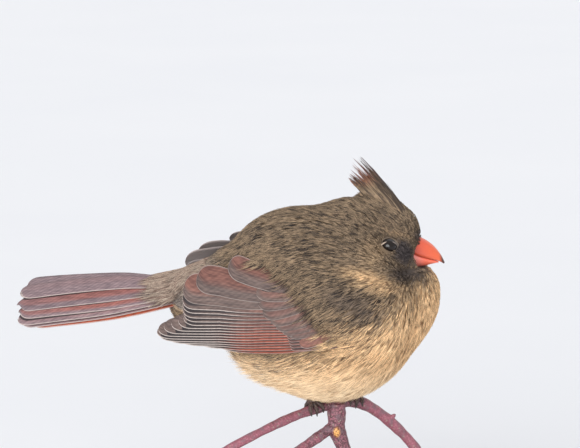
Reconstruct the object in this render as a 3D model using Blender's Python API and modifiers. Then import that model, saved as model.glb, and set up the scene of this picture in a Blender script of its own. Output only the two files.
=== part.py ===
"""A female northern cardinal, life size and still, fluffed up against the cold on a forked twig.

Run it with: blender --background --python part.py
Lengths are in millimetres here, and MM turns them into Blender's metres at the mesh.
The bird faces +X and +Y is its left side. The origin is the middle of the stand's underside.
"""

import math

import bmesh
import bpy
import numpy as np
from mathutils import Matrix, Vector

MM = 0.001
GAP = 0.3
ROOM = 0.75
SLIM = 1.0

# Driving sizes of the bird and of what holds it
BODY_MIDDLE = np.array([4.0, 0.0, 121.0])
HEAD_MIDDLE = np.array([24.5, 0.0, 151.0])
HEAD_REACH = np.array([22.5, 42.0, 22.5])
NECK_REACH = np.array([32.5, 60.0, 32.5])
BLEND = 5.0
LEAN_DEG = 10.0
LEAN_AXIS_HEIGHT = 125.0
LEAN_LENGTH = 55.0
EYE_X, EYE_Z = 26.4, 149.2
EYE_RADIUS = 3.7
EYE_DEPTH = 2.8
BILL_HALF_WIDTH = 5.6
TAIL_ROLL_DEG = 32.0
BASE_SIZE = np.array([120.0, 84.0, 12.0])
ROD_RADIUS = 2.5
ROD_X, ROD_TOP = 8.0, 40.0
VANE_THICK = 0.6
TAIL_LENGTH = 93.5
TAIL_BENDS = (42.0, 74.0)

# The folded wing in side view, as (x, height): where its feathers start and end, from the top down
WING_FLARE, WING_DIVE = 0.21, 0.3
# Heights, and how far forward the wing shows there before the side plumage covers it
WING_BURIED = ((98, 101, 106, 114, 122, 129, 137), (-8, -2, -5.5, -13.5, -18, -25, -31))
REMEX_COUNT = 15
REMEX_ROOTS = (115.0, 99.4)
REMEX_TIPS = (
    (-67, 118.7),
    (-66.8, 114.2),
    (-66.4, 110.2),
    (-72, 107.2),
    (-78, 104.1),
    (-77.4, 101.2),
    (-68, 99.2),
    (-51, 97.2),
)
TERTIALS = (
    ((-10, 121.5), (-47.2, 132.4), 8.0),
    ((-8, 119.0), (-61.2, 126.3), 9.5),
    ((-8, 117.0), (-67.0, 121.8), 10.5),
)
COVERT_ROOTS = ((-11, 123.5), (-7, 121.5), (-3, 117.5), (-1, 113), (1, 109.5))
COVERT_TIPS = ((-33.6, 122.6), (-30.8, 114.8), (-26.2, 110), (-22.6, 106.5), (-18.8, 104.5))

# The crest in side view, as (x, z)
CREST_FLOOR = (26.0, 0, 167.0)
CREST_SLOPE_DEG = 10.0
CREST_FRONT_ROOT, CREST_REAR_ROOT = (30.6, 167.8), (15.5, 172.0)
CREST_TIPS = ((14.2, 187.8), (10.6, 187.2), (10.1, 184.2), (9.6, 181.8), (8.9, 180.2), (8.3, 178.4))
CREST_BOW = 0.4
# Each tier's feathers from front to back, where they start and end up the crest, and their width
CREST_TIERS = ((6, 0.2, 1.0, 3.4), (4, 0.08, 0.68, 4.6), (3, 0.0, 0.42, 5.2))

# Rounded masses of the plumage, each a middle and its three half sizes
MASSES = {
    "belly": ((-0.5, 0, 119.5), (43.5, 41, 44.5)),
    "breast": ((23, 0, 125), (27.5, 31, 29)),
    "mantle": ((-14, 0, 131), (36, 35, 34)),
    "vent": ((-20, 0, 114), (30, 32, 30)),
    "rump": ((-42, 0, 127), (32, 22, 14)),
    "saddle": ((-36, 0, 136), (21, 20, 11.5)),
    "undertail": ((-46, 0, 118), (27, 17, 13)),
    "nape": ((9, 0, 150), (20, 17.5, 19.5)),
    "cheeks": ((20, 0, 141), (16, 16, 13)),
    "face": ((23, 0, 151), (18, 11.2, 13)),
}
SHOULDER = ((15, 28, 122), (22, 14, 26))
BILL_NOTCH = ((47, 0, 140.6), (12, 8.5, 4.4))
CREST_ROOT, CREST_ROOT_RADIUS = np.array([27.0, 0, 156.0]), 12.6
CREST_TIP, CREST_TIP_RADIUS = np.array([18.8, 0, 171.5]), 6.5
CREST_THIN = (0.85, 0.6)

COLOURS = {
    "olive_plumage": ((0.20, 0.15, 0.11), 0.85),
    "buff_plumage": ((0.55, 0.34, 0.19), 0.85),
    "crest_red": ((0.28, 0.12, 0.10), 0.8),
    "wing_feather": ((0.26, 0.13, 0.11), 0.7),
    "tail_feather": ((0.36, 0.17, 0.15), 0.7),
    "bill_horn": ((0.88, 0.15, 0.06), 0.4),
    "eye_dark": ((0.01, 0.008, 0.007), 0.1),
    "leg_skin": ((0.10, 0.06, 0.05), 0.6),
    "twig_bark": ((0.20, 0.07, 0.08), 0.7),
    "stand_wood": ((0.09, 0.05, 0.03), 0.5),
    "stand_metal": ((0.45, 0.40, 0.30), 0.3),
}


def smooth_step(t):
    """Goes from 0 to 1 with level ends as t does."""
    t = np.clip(t, 0, 1)
    return t * t * (3 - 2 * t)


def mixed(a, b, t):
    return a + (b - a) * t


def along_points(points, t):
    """Reads a smooth curve through evenly spaced points at t from 0 to 1 (Catmull-Rom)."""
    points = np.asarray(points, float)
    last = len(points) - 1
    place = np.clip(np.asarray(t, float) * last, 0, last - 1e-9)
    i = place.astype(int)
    f = (place - i)[..., None]
    before, here = points[np.maximum(i - 1, 0)], points[i]
    ahead, beyond = points[i + 1], points[np.minimum(i + 2, last)]
    return 0.5 * (
        2 * here
        + (ahead - before) * f
        + (2 * before - 5 * here + 4 * ahead - beyond) * f**2
        + (3 * here - before - 3 * ahead + beyond) * f**3
    )


# The plumage as one smooth solid, before the bird leans


def ellipsoid(p, middle, half):
    """Distance to an ellipsoid, near enough close to its surface, negative inside."""
    q = (p - np.array(middle, float)) / np.array(half, float)
    k0 = np.linalg.norm(q, axis=-1)
    k1 = np.linalg.norm(q / np.array(half, float), axis=-1)
    return k0 * (k0 - 1) / np.maximum(k1, 1e-9)


def smooth_union(a, b, k):
    h = np.clip(0.5 + 0.5 * (b - a) / k, 0, 1)
    return b * (1 - h) + a * h - k * h * (1 - h)


def crest_core(p):
    """Distance to the wedge of crown feathers, a cone that grows thinner from side to side."""
    axis = CREST_TIP - CREST_ROOT
    t = np.clip((p - CREST_ROOT) @ axis / (axis @ axis), 0, 1)
    thin = mixed(CREST_THIN[0], CREST_THIN[1], t)
    away = p - CREST_ROOT - t[..., None] * axis
    away = away / np.stack([np.ones_like(thin), thin, np.ones_like(thin)], -1)
    return np.linalg.norm(away, axis=-1) - mixed(CREST_ROOT_RADIUS, CREST_TIP_RADIUS, t)


def plumage(p):
    """Distance to the outer surface of the coat, negative inside."""
    found = crest_core(p)
    for middle, half in MASSES.values():
        found = smooth_union(found, ellipsoid(p, middle, half), BLEND)
    mirrored = p * np.array([1, 0, 1]) + np.abs(p) * np.array([0, 1, 0])
    found = smooth_union(found, ellipsoid(mirrored, *SHOULDER), BLEND)
    return -smooth_union(-found, ellipsoid(p, *BILL_NOTCH), 1.5)


def reach(start, direction, far=160.0):
    """How far the coat's surface lies from each start point along its direction."""
    near, beyond = np.zeros(len(direction)), np.full(len(direction), far)
    for _ in range(30):
        half = (near + beyond) / 2
        inside = plumage(start + direction * half[:, None]) < 0
        near, beyond = np.where(inside, half, near), np.where(inside, beyond, half)
    return near


def lean(p):
    """Rolls the rear of the bird so that its back turns towards its right side."""
    p = np.array(p, float)
    angle = math.radians(LEAN_DEG) * smooth_step(-p[..., 0] / LEAN_LENGTH)
    y, z = p[..., 1], p[..., 2] - LEAN_AXIS_HEIGHT
    turned = np.stack(
        [p[..., 0], y * np.cos(angle) - z * np.sin(angle), y * np.sin(angle) + z * np.cos(angle)], -1
    )
    return turned + np.array([0, 0, LEAN_AXIS_HEIGHT])


# Making, joining and cutting closed meshes


def material(slot):
    found = bpy.data.materials.get(slot)
    if found is None:
        colour, rough = COLOURS[slot]
        found = bpy.data.materials.new(slot)
        found.use_nodes = True
        shader = found.node_tree.nodes["Principled BSDF"]
        shader.inputs["Base Color"].default_value = (*colour, 1)
        shader.inputs["Roughness"].default_value = rough
        shader.inputs["Metallic"].default_value = 1.0 if slot == "stand_metal" else 0.0
    return found


def made(name, shape, slot):
    """Turns a bmesh in millimetres into an object of the model."""
    bmesh.ops.scale(shape, vec=(MM, MM, MM), verts=shape.verts)
    bmesh.ops.recalc_face_normals(shape, faces=shape.faces)
    mesh = bpy.data.meshes.new(name)
    shape.to_mesh(mesh)
    shape.free()
    mesh.materials.append(material(slot))
    obj = bpy.data.objects.new(name, mesh)
    bpy.data.collections["cardinal"].objects.link(obj)
    return obj


def move_points(obj, change):
    """Replaces every point of the mesh, in millimetres, by change(points)."""
    flat = np.empty(len(obj.data.vertices) * 3, np.float32)
    obj.data.vertices.foreach_get("co", flat)
    moved = change(flat.reshape(-1, 3).astype(float) / MM) * MM
    obj.data.vertices.foreach_set("co", moved.astype(np.float32).ravel())
    obj.data.update()
    return obj


def sphere(name, middle, radii, slot, segments=24, rings=16, turn=None):
    """A UV sphere with three radii, its poles along Z or turned."""
    shape = bmesh.new()
    bmesh.ops.create_uvsphere(shape, u_segments=segments, v_segments=rings, radius=1.0)
    bmesh.ops.scale(shape, vec=radii, verts=shape.verts)
    if turn is not None:
        bmesh.ops.rotate(shape, cent=(0, 0, 0), matrix=turn, verts=shape.verts)
    bmesh.ops.translate(shape, vec=middle, verts=shape.verts)
    return made(name, shape, slot)


def cone(name, foot, top, foot_radius, top_radius, slot, sides=12):
    """A round bar or cone between two points, with flat ends."""
    foot, top = Vector(foot), Vector(top)
    shape = bmesh.new()
    bmesh.ops.create_cone(
        shape,
        cap_ends=True,
        segments=sides,
        radius1=foot_radius,
        radius2=top_radius,
        depth=(top - foot).length,
    )
    turn = Vector((0, 0, 1)).rotation_difference(top - foot).to_matrix()
    bmesh.ops.rotate(shape, cent=(0, 0, 0), matrix=turn, verts=shape.verts)
    bmesh.ops.translate(shape, vec=(foot + top) / 2, verts=shape.verts)
    return made(name, shape, slot)


def tube(name, path, radii, slot, resolution=1):
    """A curve with a round bevel, a radius at each point and filled ends, made into a mesh."""
    curve = bpy.data.curves.new(name, "CURVE")
    curve.dimensions = "3D"
    curve.bevel_depth = MM
    curve.bevel_resolution = resolution
    curve.use_fill_caps = True
    spline = curve.splines.new("POLY")
    spline.points.add(len(path) - 1)
    for point, place, radius in zip(spline.points, path, radii):
        point.co = (*(Vector(place) * MM), 1)
        point.radius = radius
    guide = bpy.data.objects.new(name, curve)
    bpy.data.collections["cardinal"].objects.link(guide)
    graph = bpy.context.evaluated_depsgraph_get()
    mesh = bpy.data.meshes.new_from_object(guide.evaluated_get(graph))
    shape = bmesh.new()
    shape.from_mesh(mesh)
    bpy.data.objects.remove(guide)
    bpy.data.meshes.remove(mesh)
    bmesh.ops.remove_doubles(shape, verts=shape.verts, dist=1e-6)
    bmesh.ops.scale(shape, vec=(1 / MM, 1 / MM, 1 / MM), verts=shape.verts)
    return made(name, shape, slot)


def grown(obj, gap):
    """Moves the whole surface outwards, so that every face lies gap or more from where it was."""
    shape = bmesh.new()
    shape.from_mesh(obj.data)
    bmesh.ops.triangulate(shape, faces=shape.faces)
    shape.normal_update()
    moves = []
    for v in shape.verts:
        least = min(v.normal.dot(f.normal) for f in v.link_faces)
        moves.append(v.normal * (gap * MM / max(least, 0.4)))
    for v, move in zip(shape.verts, moves):
        v.co += move
    shape.to_mesh(obj.data)
    shape.free()
    return obj


def coat(name, middle, slot, segments, rings, grow=0.0):
    """The coat seen from middle: every point of a sphere goes out to its surface, then leans."""
    ball = sphere(name, (0, 0, 0), (1, 1, 1), slot, segments, rings)

    def outwards(unit):
        unit = unit / np.linalg.norm(unit, axis=1)[:, None]
        return lean(middle + unit * reach(middle, unit)[:, None])

    return grown(move_points(ball, outwards), grow)


def applied(obj):
    """Turns the object's modifiers into its own mesh."""
    graph = bpy.context.evaluated_depsgraph_get()
    old, slots = obj.data, list(obj.data.materials)
    obj.data = bpy.data.meshes.new_from_object(obj.evaluated_get(graph))
    obj.modifiers.clear()
    bpy.data.meshes.remove(old)
    obj.data.materials.clear()
    obj.data.materials.append(slots[0])
    return obj


def copied(obj, name="copy"):
    twin = obj.copy()
    twin.data = obj.data.copy()
    twin.name = name
    bpy.data.collections["cardinal"].objects.link(twin)
    return twin


def mirrored(obj, name):
    """The same piece on the bird's other side, before it leans."""
    twin = move_points(copied(obj, name), lambda p: p * np.array([1, -1, 1]))
    twin.data.flip_normals()
    return twin


def keep_largest(obj):
    """Keeps the largest closed surface, which drops loose scraps and fills sealed hollows."""
    shape = bmesh.new()
    shape.from_mesh(obj.data)
    left, bodies = set(shape.verts), []
    while left:
        body, edge = set(), [left.pop()]
        while edge:
            v = edge.pop()
            body.add(v)
            others = {e.other_vert(v) for e in v.link_edges} & left
            left -= others
            edge.extend(others)
        bodies.append(body)

    def size(body):
        low = [min(v.co[k] for v in body) for k in range(3)]
        high = [max(v.co[k] for v in body) for k in range(3)]
        return math.dist(low, high)

    bodies.sort(key=size, reverse=True)
    bmesh.ops.delete(shape, geom=[v for body in bodies[1:] for v in body], context="VERTS")
    shape.to_mesh(obj.data)
    shape.free()
    return obj


def boolean(obj, operation, others, solver="EXACT"):
    """Joins or cuts obj with all the others at once, then removes them."""
    tools = bpy.data.collections.new("tools")
    bpy.context.scene.collection.children.link(tools)
    for other in others:
        bpy.data.collections["cardinal"].objects.unlink(other)
        tools.objects.link(other)
    step = obj.modifiers.new(operation.lower(), "BOOLEAN")
    step.operation, step.solver = operation, solver
    step.operand_type, step.collection = "COLLECTION", tools
    applied(obj)
    for other in list(tools.objects):
        bpy.data.objects.remove(other)
    bpy.data.collections.remove(tools)
    return keep_largest(obj)


def joined(name, pieces, solver="EXACT"):
    first = boolean(pieces[0], "UNION", pieces[1:], solver) if len(pieces) > 1 else pieces[0]
    first.name = first.data.name = name
    return first


def cut(obj, *tools, solver="EXACT"):
    return boolean(obj, "DIFFERENCE", tools, solver)


def slimmed(obj, angle):
    """Merges the flat slivers where feathers cross."""
    step = obj.modifiers.new("slim", "DECIMATE")
    step.decimate_type, step.angle_limit = "DISSOLVE", math.radians(angle)
    return applied(obj)


# Head, neck and torso, parted by two balls round the head


def head_ball(radii):
    turn = Matrix.Rotation(math.pi / 24, 3, "Z")
    return sphere("cutter", HEAD_MIDDLE, radii, "olive_plumage", 24, 14, turn)


def torso_coat(name, grow=0.0):
    return coat(name, BODY_MIDDLE, "buff_plumage", 36, 22, grow)


def body_room():
    """A plainer copy of the torso's surface, with the gap round it, for cutting the feathers clear."""
    return coat("cutter", BODY_MIDDLE, "buff_plumage", 28, 18, ROOM)


def head_coat(name, grow=0.0):
    return coat(name, HEAD_MIDDLE, "olive_plumage", 30, 24, grow)


def make_flesh():
    """Head, neck and torso, cut from one surface so that they meet face to face."""
    torso = torso_coat("torso")
    cut(torso, head_ball(NECK_REACH + GAP))
    neck = head_coat("neck")
    boolean(neck, "INTERSECT", [head_ball(NECK_REACH)])
    cut(neck, head_ball(HEAD_REACH + GAP))
    head = head_coat("head")
    boolean(head, "INTERSECT", [head_ball(HEAD_REACH)])
    return torso, neck, head


def make_eye(side, head):
    """An eyeball in a socket, with a ring of lids on the head around it."""
    start = np.array([[EYE_X, 0.0, EYE_Z]])
    surface = reach(start, np.array([[0, side, 0.0]]))[0]
    middle = Vector((EYE_X, side * (surface - EYE_DEPTH), EYE_Z))
    outward = Vector((0.115, side * 0.987, -0.11))
    turn = Vector((0, 0, 1)).rotation_difference(outward).to_matrix()
    bpy.ops.mesh.primitive_torus_add(
        major_segments=16, minor_segments=6, major_radius=3.35, minor_radius=0.75
    )
    ring = bpy.context.object
    shape = bmesh.new()
    shape.from_mesh(ring.data)
    bpy.data.objects.remove(ring)
    bmesh.ops.rotate(shape, cent=(0, 0, 0), matrix=turn, verts=shape.verts)
    bmesh.ops.scale(shape, vec=(1.15, 1, 1), verts=shape.verts)
    bmesh.ops.translate(shape, vec=middle + outward * 2.0, verts=shape.verts)
    joined("head", [head, made("lids", shape, "olive_plumage")])
    name = "eye_left" if side > 0 else "eye_right"
    cut(head, sphere("socket", middle, [EYE_RADIUS + GAP] * 3, "eye_dark", 16, 10))
    sphere(name, middle, [EYE_RADIUS] * 3, "eye_dark", 16, 10)


# Bill


CULMEN = ((33, 153), (38, 152.3), (41.5, 151), (45.5, 148.6), (48.5, 145.8), (51, 142.3), (52.4, 139.4))
CUTTING_EDGE = ((33, 140.2), (36.5, 144.2), (41, 142.7), (45.5, 141.5), (49, 140.6), (51, 139.6), (52, 138.9))
LOWER_EDGE = ((33, 139.9), (36.5, 143.7), (40.5, 142.4), (44, 141.4), (47, 140.6), (49, 140.0), (49.6, 139.7))
GONYS = ((33, 136.4), (36, 136.8), (39.5, 137.3), (43, 137.9), (46, 138.6), (48.2, 139.2), (49.3, 139.5))


def bill_half(name, ridge, edge, rise):
    """Lofts one mandible between its ridge and its cutting edge, both given as (x, z)."""
    shape = bmesh.new()
    rings = []
    for (ridge_x, ridge_z), (edge_x, edge_z) in zip(ridge, edge):
        half = BILL_HALF_WIDTH * math.sqrt(max(1 - ((edge_x - 33) / 19.6) ** 1.6, 0.004))
        ring = []
        for k in range(10):
            turn = math.pi * k / 9
            up = math.sin(turn) ** rise
            x, z = mixed(edge_x, ridge_x, up), mixed(edge_z, ridge_z, up)
            ring.append(shape.verts.new((x, half * math.cos(turn), z)))
        rings.append(ring)
    for back, front in zip(rings, rings[1:]):
        for k in range(10):
            shape.faces.new((back[k], back[(k + 1) % 10], front[(k + 1) % 10], front[k]))
    shape.faces.new(rings[0])
    shape.faces.new(rings[-1])
    return made(name, shape, "bill_horn")


def make_bill():
    """Two mandibles with an open mouth line and two nostrils, cut clear of the head."""
    upper = bill_half("upper_mandible", CULMEN, CUTTING_EDGE, 0.9)
    lower = bill_half("lower_mandible", GONYS, LOWER_EDGE, 0.8)
    for side in (1, -1):
        place = (40.2, side * 4.4, 148.6)
        cut(upper, sphere("nostril", place, (0.9, 0.8, 0.6), "bill_horn", 8, 6))
    for half in (upper, lower):
        cut(half, head_coat("cutter", GAP + 0.1))


# Places on the folded wing and on the tail


def wing_place(x, height, rise):
    """A point of the right wing from its place in side view and its rise off the wing's sheet.

    height is measured as the bird is seen, and the sheet bends round the body as a rounded roof.
    """
    x, height, rise = np.broadcast_arrays(x, height, rise)
    back = np.clip(-x, 0, None)
    z = height + np.interp(x, (-77, -50, -30, 0), (5.2, 9.0, 8.8, 5.9))
    middle = 122 + 3 * smooth_step(back / 50)
    bend = mixed(40.0, 22.0, smooth_step(back / 50))
    out = 42.7 - 0.385 * (np.sqrt(back**2 + 144) - 12) - (z - middle) ** 2 / (2 * bend)
    out += WING_FLARE * np.clip(111 - height, 0, None)
    out -= WING_DIVE * np.clip(x - np.interp(height, *WING_BURIED), 0, None)
    return np.stack([x, -(out + rise), z], -1)


def tail_place(back, across, rise):
    """A point of the tail: back from its root, across to the bird's left, and up off its sheet."""
    back, across, rise = np.broadcast_arrays(back, across, rise)
    x = -50 - 0.997 * back
    z = np.interp(back, (-20, *TAIL_BENDS, 100), (131.5, 127.0, 123.4, 120.1))
    roll = math.radians(TAIL_ROLL_DEG)
    y = across * math.cos(roll) - rise * math.sin(roll)
    return np.stack([x, y, z + across * math.sin(roll) + rise * math.cos(roll)], -1)


def vane(place, low, high, low_rise, high_rise, slot, thick=VANE_THICK):
    """One feather as a thin leaf: a strip between two edges, thickened alike to both sides.

    low and high are the edges' points on a sheet, each with its own rise off that sheet.
    """
    rows = len(low)
    shape = bmesh.new()
    bmesh.ops.create_grid(shape, x_segments=1, y_segments=rows - 1, size=1.0)
    across = sorted(shape.verts, key=lambda v: (v.co.y, v.co.x))
    sheet = np.stack([low, high], 1).reshape(-1, 2)
    rises = np.stack([low_rise, high_rise], 1).reshape(-1)
    for v, point in zip(across, place(sheet[:, 0], sheet[:, 1], rises)):
        v.co = point
    bmesh.ops.triangulate(shape, faces=shape.faces)
    leaf = made("vane", shape, slot)
    shell = leaf.modifiers.new("thickness", "SOLIDIFY")
    shell.thickness, shell.offset = thick * MM, 0
    return applied(leaf)


def wing_vane(root, tip, width, tilt, rise, sag=0.0, root_rise=0.0, blunt=0.8):
    """A wing feather by its lower edge. Its upper edge sinks below the next feather up."""
    along = np.array([0, 0.4, 0.78, 0.95, 1.0])
    shape = np.array([0.45, 0.85, 1.0, blunt, 0.45 * blunt])
    lift = np.array([0, 0, 0, 0.05, 0.24]) * width
    low = mixed(np.array(root, float), np.array(tip, float), along[:, None])
    low[:, 1] += lift - sag * 4 * along * (1 - along)
    ahead = (np.array(tip, float) - np.array(root, float)) / math.dist(root, tip)
    aside = np.array([ahead[1], -ahead[0]]) * (1 if ahead[0] < 0 else -1)
    high = low + aside * (shape * width - lift)[:, None]
    low_rise = mixed(rise - root_rise, rise, along)
    return vane(wing_place, low, high, low_rise, low_rise - tilt * shape * width, "wing_feather")


def make_wing():
    """The right wing, level: 9 primaries and 6 secondaries, 3 tertials and the coverts over them."""
    pad = sphere("wing", (-30, 111, -1.4), (31, 12, 2.2), "wing_feather", 16, 6)
    pieces = [move_points(pad, lambda p: wing_place(p[:, 0], p[:, 1], p[:, 2]))]
    for i in range(REMEX_COUNT):
        t = i / (REMEX_COUNT - 1)
        root = (-13, mixed(*REMEX_ROOTS, t))
        tip = along_points(REMEX_TIPS, t)
        pieces.append(wing_vane(root, tip, mixed(6.5, 4.6, t), 0.3, 1.3, sag=1.4 * t * t))
    for (root, tip, width), tilt in zip(TERTIALS, (0.1, 0.12, 0.17)):
        pieces.append(wing_vane(root, tip, width, tilt, 1.5, blunt=0.9))
    for i in range(6):
        t = i / 5
        root, tip = along_points(COVERT_ROOTS, t), along_points(COVERT_TIPS, t)
        width = 7.5 - 1.2 * t
        pieces.append(wing_vane(root, tip, width, 0.16, 2.3, sag=1.2, root_rise=0.6, blunt=0.95))
    for i in range(4):
        t = i / 3
        root, tip = (3, mixed(106, 101, t)), (-19.4 + 1.5 * t, mixed(104.2, 99.2, t))
        pieces.append(wing_vane(root, tip, 5, 0.3, 2.1, blunt=0.9))
    pieces.append(wing_vane((-1, 103.6), (-12.5, 99.6), 5, 0.1, 2.9))
    return joined("wing_right", pieces, "MANIFOLD")


def tucked(p):
    """Holds the left wing's tip a little higher, as the bird does with its far wing."""
    lift = 0.35 * np.clip(125 - p[:, 2], 0, None) * smooth_step((-p[:, 0] - 30) / 40)
    return p + lift[:, None] * np.array([0, 0, 1])


def make_wings(torso):
    right = make_wing()
    left = move_points(mirrored(right, "wing_left"), tucked)
    for wing in (right, left):
        move_points(wing, lean)
        cut(wing, body_room(), solver="MANIFOLD")
        slimmed(wing, SLIM)


def tail_vane(root, tip, root_half, tip_half, root_rise, tip_rise):
    """A tail feather from (back, across) to (back, across), wider towards its rounded tip."""
    bends = [(b - root[0]) / (tip[0] - root[0]) for b in TAIL_BENDS if b < tip[0] - 8]
    along = np.array([0, *bends, 1 - 4.5 / (tip[0] - root[0]), 1.0])
    middle = mixed(np.array(root, float), np.array(tip, float), along[:, None])
    round_end = np.array([1] * (len(along) - 2) + [0.86, 0.4])
    half = mixed(root_half, tip_half, np.minimum(along / 0.6, 1)) * round_end
    aside = np.stack([0 * half, half], 1)
    rise = mixed(root_rise, tip_rise, along)
    return vane(tail_place, middle - aside, middle + aside, rise, rise, "tail_feather")


def make_tail(torso):
    """Twelve tail feathers stacked like a roof from the middle pair, and coverts over their roots."""
    pad = sphere("tail", (20, 0, -1.6), (16, 9, 4.2), "tail_feather", 16, 10)
    pieces = [move_points(pad, lambda p: tail_place(p[:, 0], p[:, 1], p[:, 2]))]
    for side in (-1, 1):
        for k in range(6):
            root = (6, side * (0.8 + 0.9 * k))
            tip = (TAIL_LENGTH - 0.1 * k * k, side * (1.2 + 2.15 * k))
            rise = -0.5 * k - (0.25 if side > 0 else 0)
            pieces.append(tail_vane(root, tip, 2.6, 5.6, rise, rise))
    for k in (-2, -1, 0, 1, 2):
        over = ((12, 2.6 * k), (35 - 2.2 * abs(k), 3.6 * k))
        pieces.append(tail_vane(*over, 3.4, 3.8, 6.4 - 0.6 * abs(k), 1.1 - 0.9 * abs(k)))
        under = ((12, 2.4 * k), (38 - 2.0 * abs(k), 3.2 * k))
        pieces.append(tail_vane(*under, 3.4, 3.8, -7.6 + 0.6 * abs(k), -4.2 + 0.1 * abs(k)))
    tail = joined("tail", pieces)
    cut(tail, torso_coat("cutter", GAP + 0.1))
    slimmed(tail, SLIM)


def crest_place(front, side, reach_up, rise):
    """A point of the crest: front 0 at its front edge to 1 behind, and reach_up 0 to 1 to its tips."""
    root = mixed(np.array(CREST_FRONT_ROOT), np.array(CREST_REAR_ROOT), front)
    tip = along_points(CREST_TIPS, front)
    bow = 4 * reach_up * (1 - reach_up) * CREST_BOW * mixed(1, -0.6, front)
    point = mixed(root, tip, reach_up) + bow * np.array([0.66, 0.75])
    inside = np.array([[point[0], 0.0, point[1]]])
    half = reach(inside, np.array([[0, 1.0, 0]]), 20)[0] if plumage(inside)[0] < 0 else 0.0
    return np.array([point[0], side * max(half + rise, 0.45), point[1]])


def crest_vane(front, side, start, end, width):
    """A narrow pointed feather of the crest, whose root is sunk in its side."""
    along = np.array([0, 0.4, 0.78, 1.0])
    half = width / 2 * np.array([0.7, 1, 0.65, 0.12])
    rise = np.array([-1.8, -0.1, 0.7, 0.9])
    spine = np.array([crest_place(front, side, mixed(start, end, t), r) for t, r in zip(along, rise)])
    ahead = np.gradient(spine, axis=0)
    ahead /= np.linalg.norm(ahead, axis=1)[:, None]
    face = np.array([0.35 * (1 - abs(side)) + 0.3 * (1 - front), side + 1e-3, 0.35 * (1 - abs(side))])
    aside = np.cross(ahead, face)
    aside /= np.linalg.norm(aside, axis=1)[:, None]
    edges = np.stack([spine - aside * half[:, None], spine + aside * half[:, None]], 1)

    def place(row, column, rise):
        return edges[row.astype(int), column.astype(int)]

    rows = np.arange(4.0)
    low, high = np.stack([rows, 0 * rows], 1), np.stack([rows, 0 * rows + 1], 1)
    return vane(place, low, high, 0 * rows, 0 * rows, "crest_red", 0.5)


def crest_block(name, grow=0.0):
    """Everything above the sloping plane that parts the crest from the head."""
    shape = bmesh.new()
    bmesh.ops.create_cube(shape, size=80.0)
    bmesh.ops.translate(shape, vec=(0, 0, 40 - grow), verts=shape.verts)
    turn = Matrix.Rotation(math.radians(CREST_SLOPE_DEG), 3, "Y")
    bmesh.ops.rotate(shape, cent=(0, 0, 0), matrix=turn, verts=shape.verts)
    bmesh.ops.translate(shape, vec=CREST_FLOOR, verts=shape.verts)
    return made(name, shape, "crest_red")


def make_crest(neck, head):
    """The crest feather by feather, in three tiers round a short core."""
    core = head_coat("crest")
    core.data.materials[0] = material("crest_red")
    boolean(core, "INTERSECT", [crest_block("block")])
    for node in (neck, head):
        cut(node, crest_block("block", GAP))
    pieces = [core]
    for tier, (fronts, start, end, width) in enumerate(CREST_TIERS):
        for k in range(fronts):
            front = (k + 0.5 * (tier % 2)) / fronts if tier else k / (fronts - 1)
            for side in (-1, 1):
                pieces.append(crest_vane(front, side, start, end, width))
    return slimmed(joined("crest", pieces), SLIM)


# Legs, twig and stand

# Each branch of the fork: points along it, its radius at both ends, and its count of rings
BRANCHES = {
    "stem": (
        ((3, 0, 74), (3.2, 0, 67), (3.6, 0, 61), (6.0, 0, 54), (7.6, 0, 47), (ROD_X, 0, ROD_TOP)),
        (4.6, 2.9, 8),
    ),
    "near_arm": (
        ((2, 1, 73.4), (-4, -5, 73.0), (-14, -13, 71.2), (-25, -21, 67.8), (-40, -27.5, 61.3), (-56, -31, 53)),
        (2.5, 1.9, 11),
    ),
    "far_arm": (
        ((0, -1, 73.2), (8, 6, 73.8), (16, 12, 71.4), (25, 17, 64.8), (33, 20.5, 57.0), (39, 22, 50), (45, 23, 41)),
        (3.0, 2.3, 13),
    ),
    "spur": (((3.2, 0, 64), (-3, -3, 60.4), (-12.5, -8, 54.6), (-22, -12, 48.4)), (2.9, 2.2, 6)),
}
# Where each foot stands, as its branch and how far along that it is
FEET = {"right": ("near_arm", 0.29), "left": ("far_arm", 0.2)}
FOOT_THICK = 1.5
LEG_RADIUS = 1.3
POCKET = np.array([8.5, 8.5, 6.0])
# Each toe: how far it splays along the branch, and the angles round it where it starts and ends
TOES = ((-3.4, 12, 112), (0.2, 12, 126), (3.6, 12, 112), (0.4, -12, -118))
SCUTE_RISE, TOE_RADIUS = 1.12, 1.0


def branch_path(name):
    points, (start, end, count) = BRANCHES[name]
    t = np.linspace(0, 1, count)
    return along_points(points, t), mixed(start, end, t)


def twig_pieces(grow=0.0):
    """The fork's branches, or the room that they need if grow is the gap round them."""
    pieces = []
    for name in BRANCHES:
        path, radii = branch_path(name)
        for end, inner in ((0, 1), (-1, -2)):
            path[end] += (path[end] - path[inner]) * grow / math.dist(path[end], path[inner])
        pieces.append(tube(name, path, radii + grow, "twig_bark", 2))
    return pieces


def foothold(side):
    """The branch's middle under a foot, its radius there, and the ways along, forwards and up."""
    name, t = FEET[side]
    points, (start, end, _) = BRANCHES[name]
    here, ahead = along_points(points, np.array([t, t + 0.02]))
    along = (ahead - here) / np.linalg.norm(ahead - here)
    forward = np.cross((0, 0, 1), along)
    forward *= np.sign(forward[0]) / np.linalg.norm(forward)
    up = np.cross(along, forward)
    return here, mixed(start, end, t), along, forward, up * np.sign(up[2])


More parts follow.
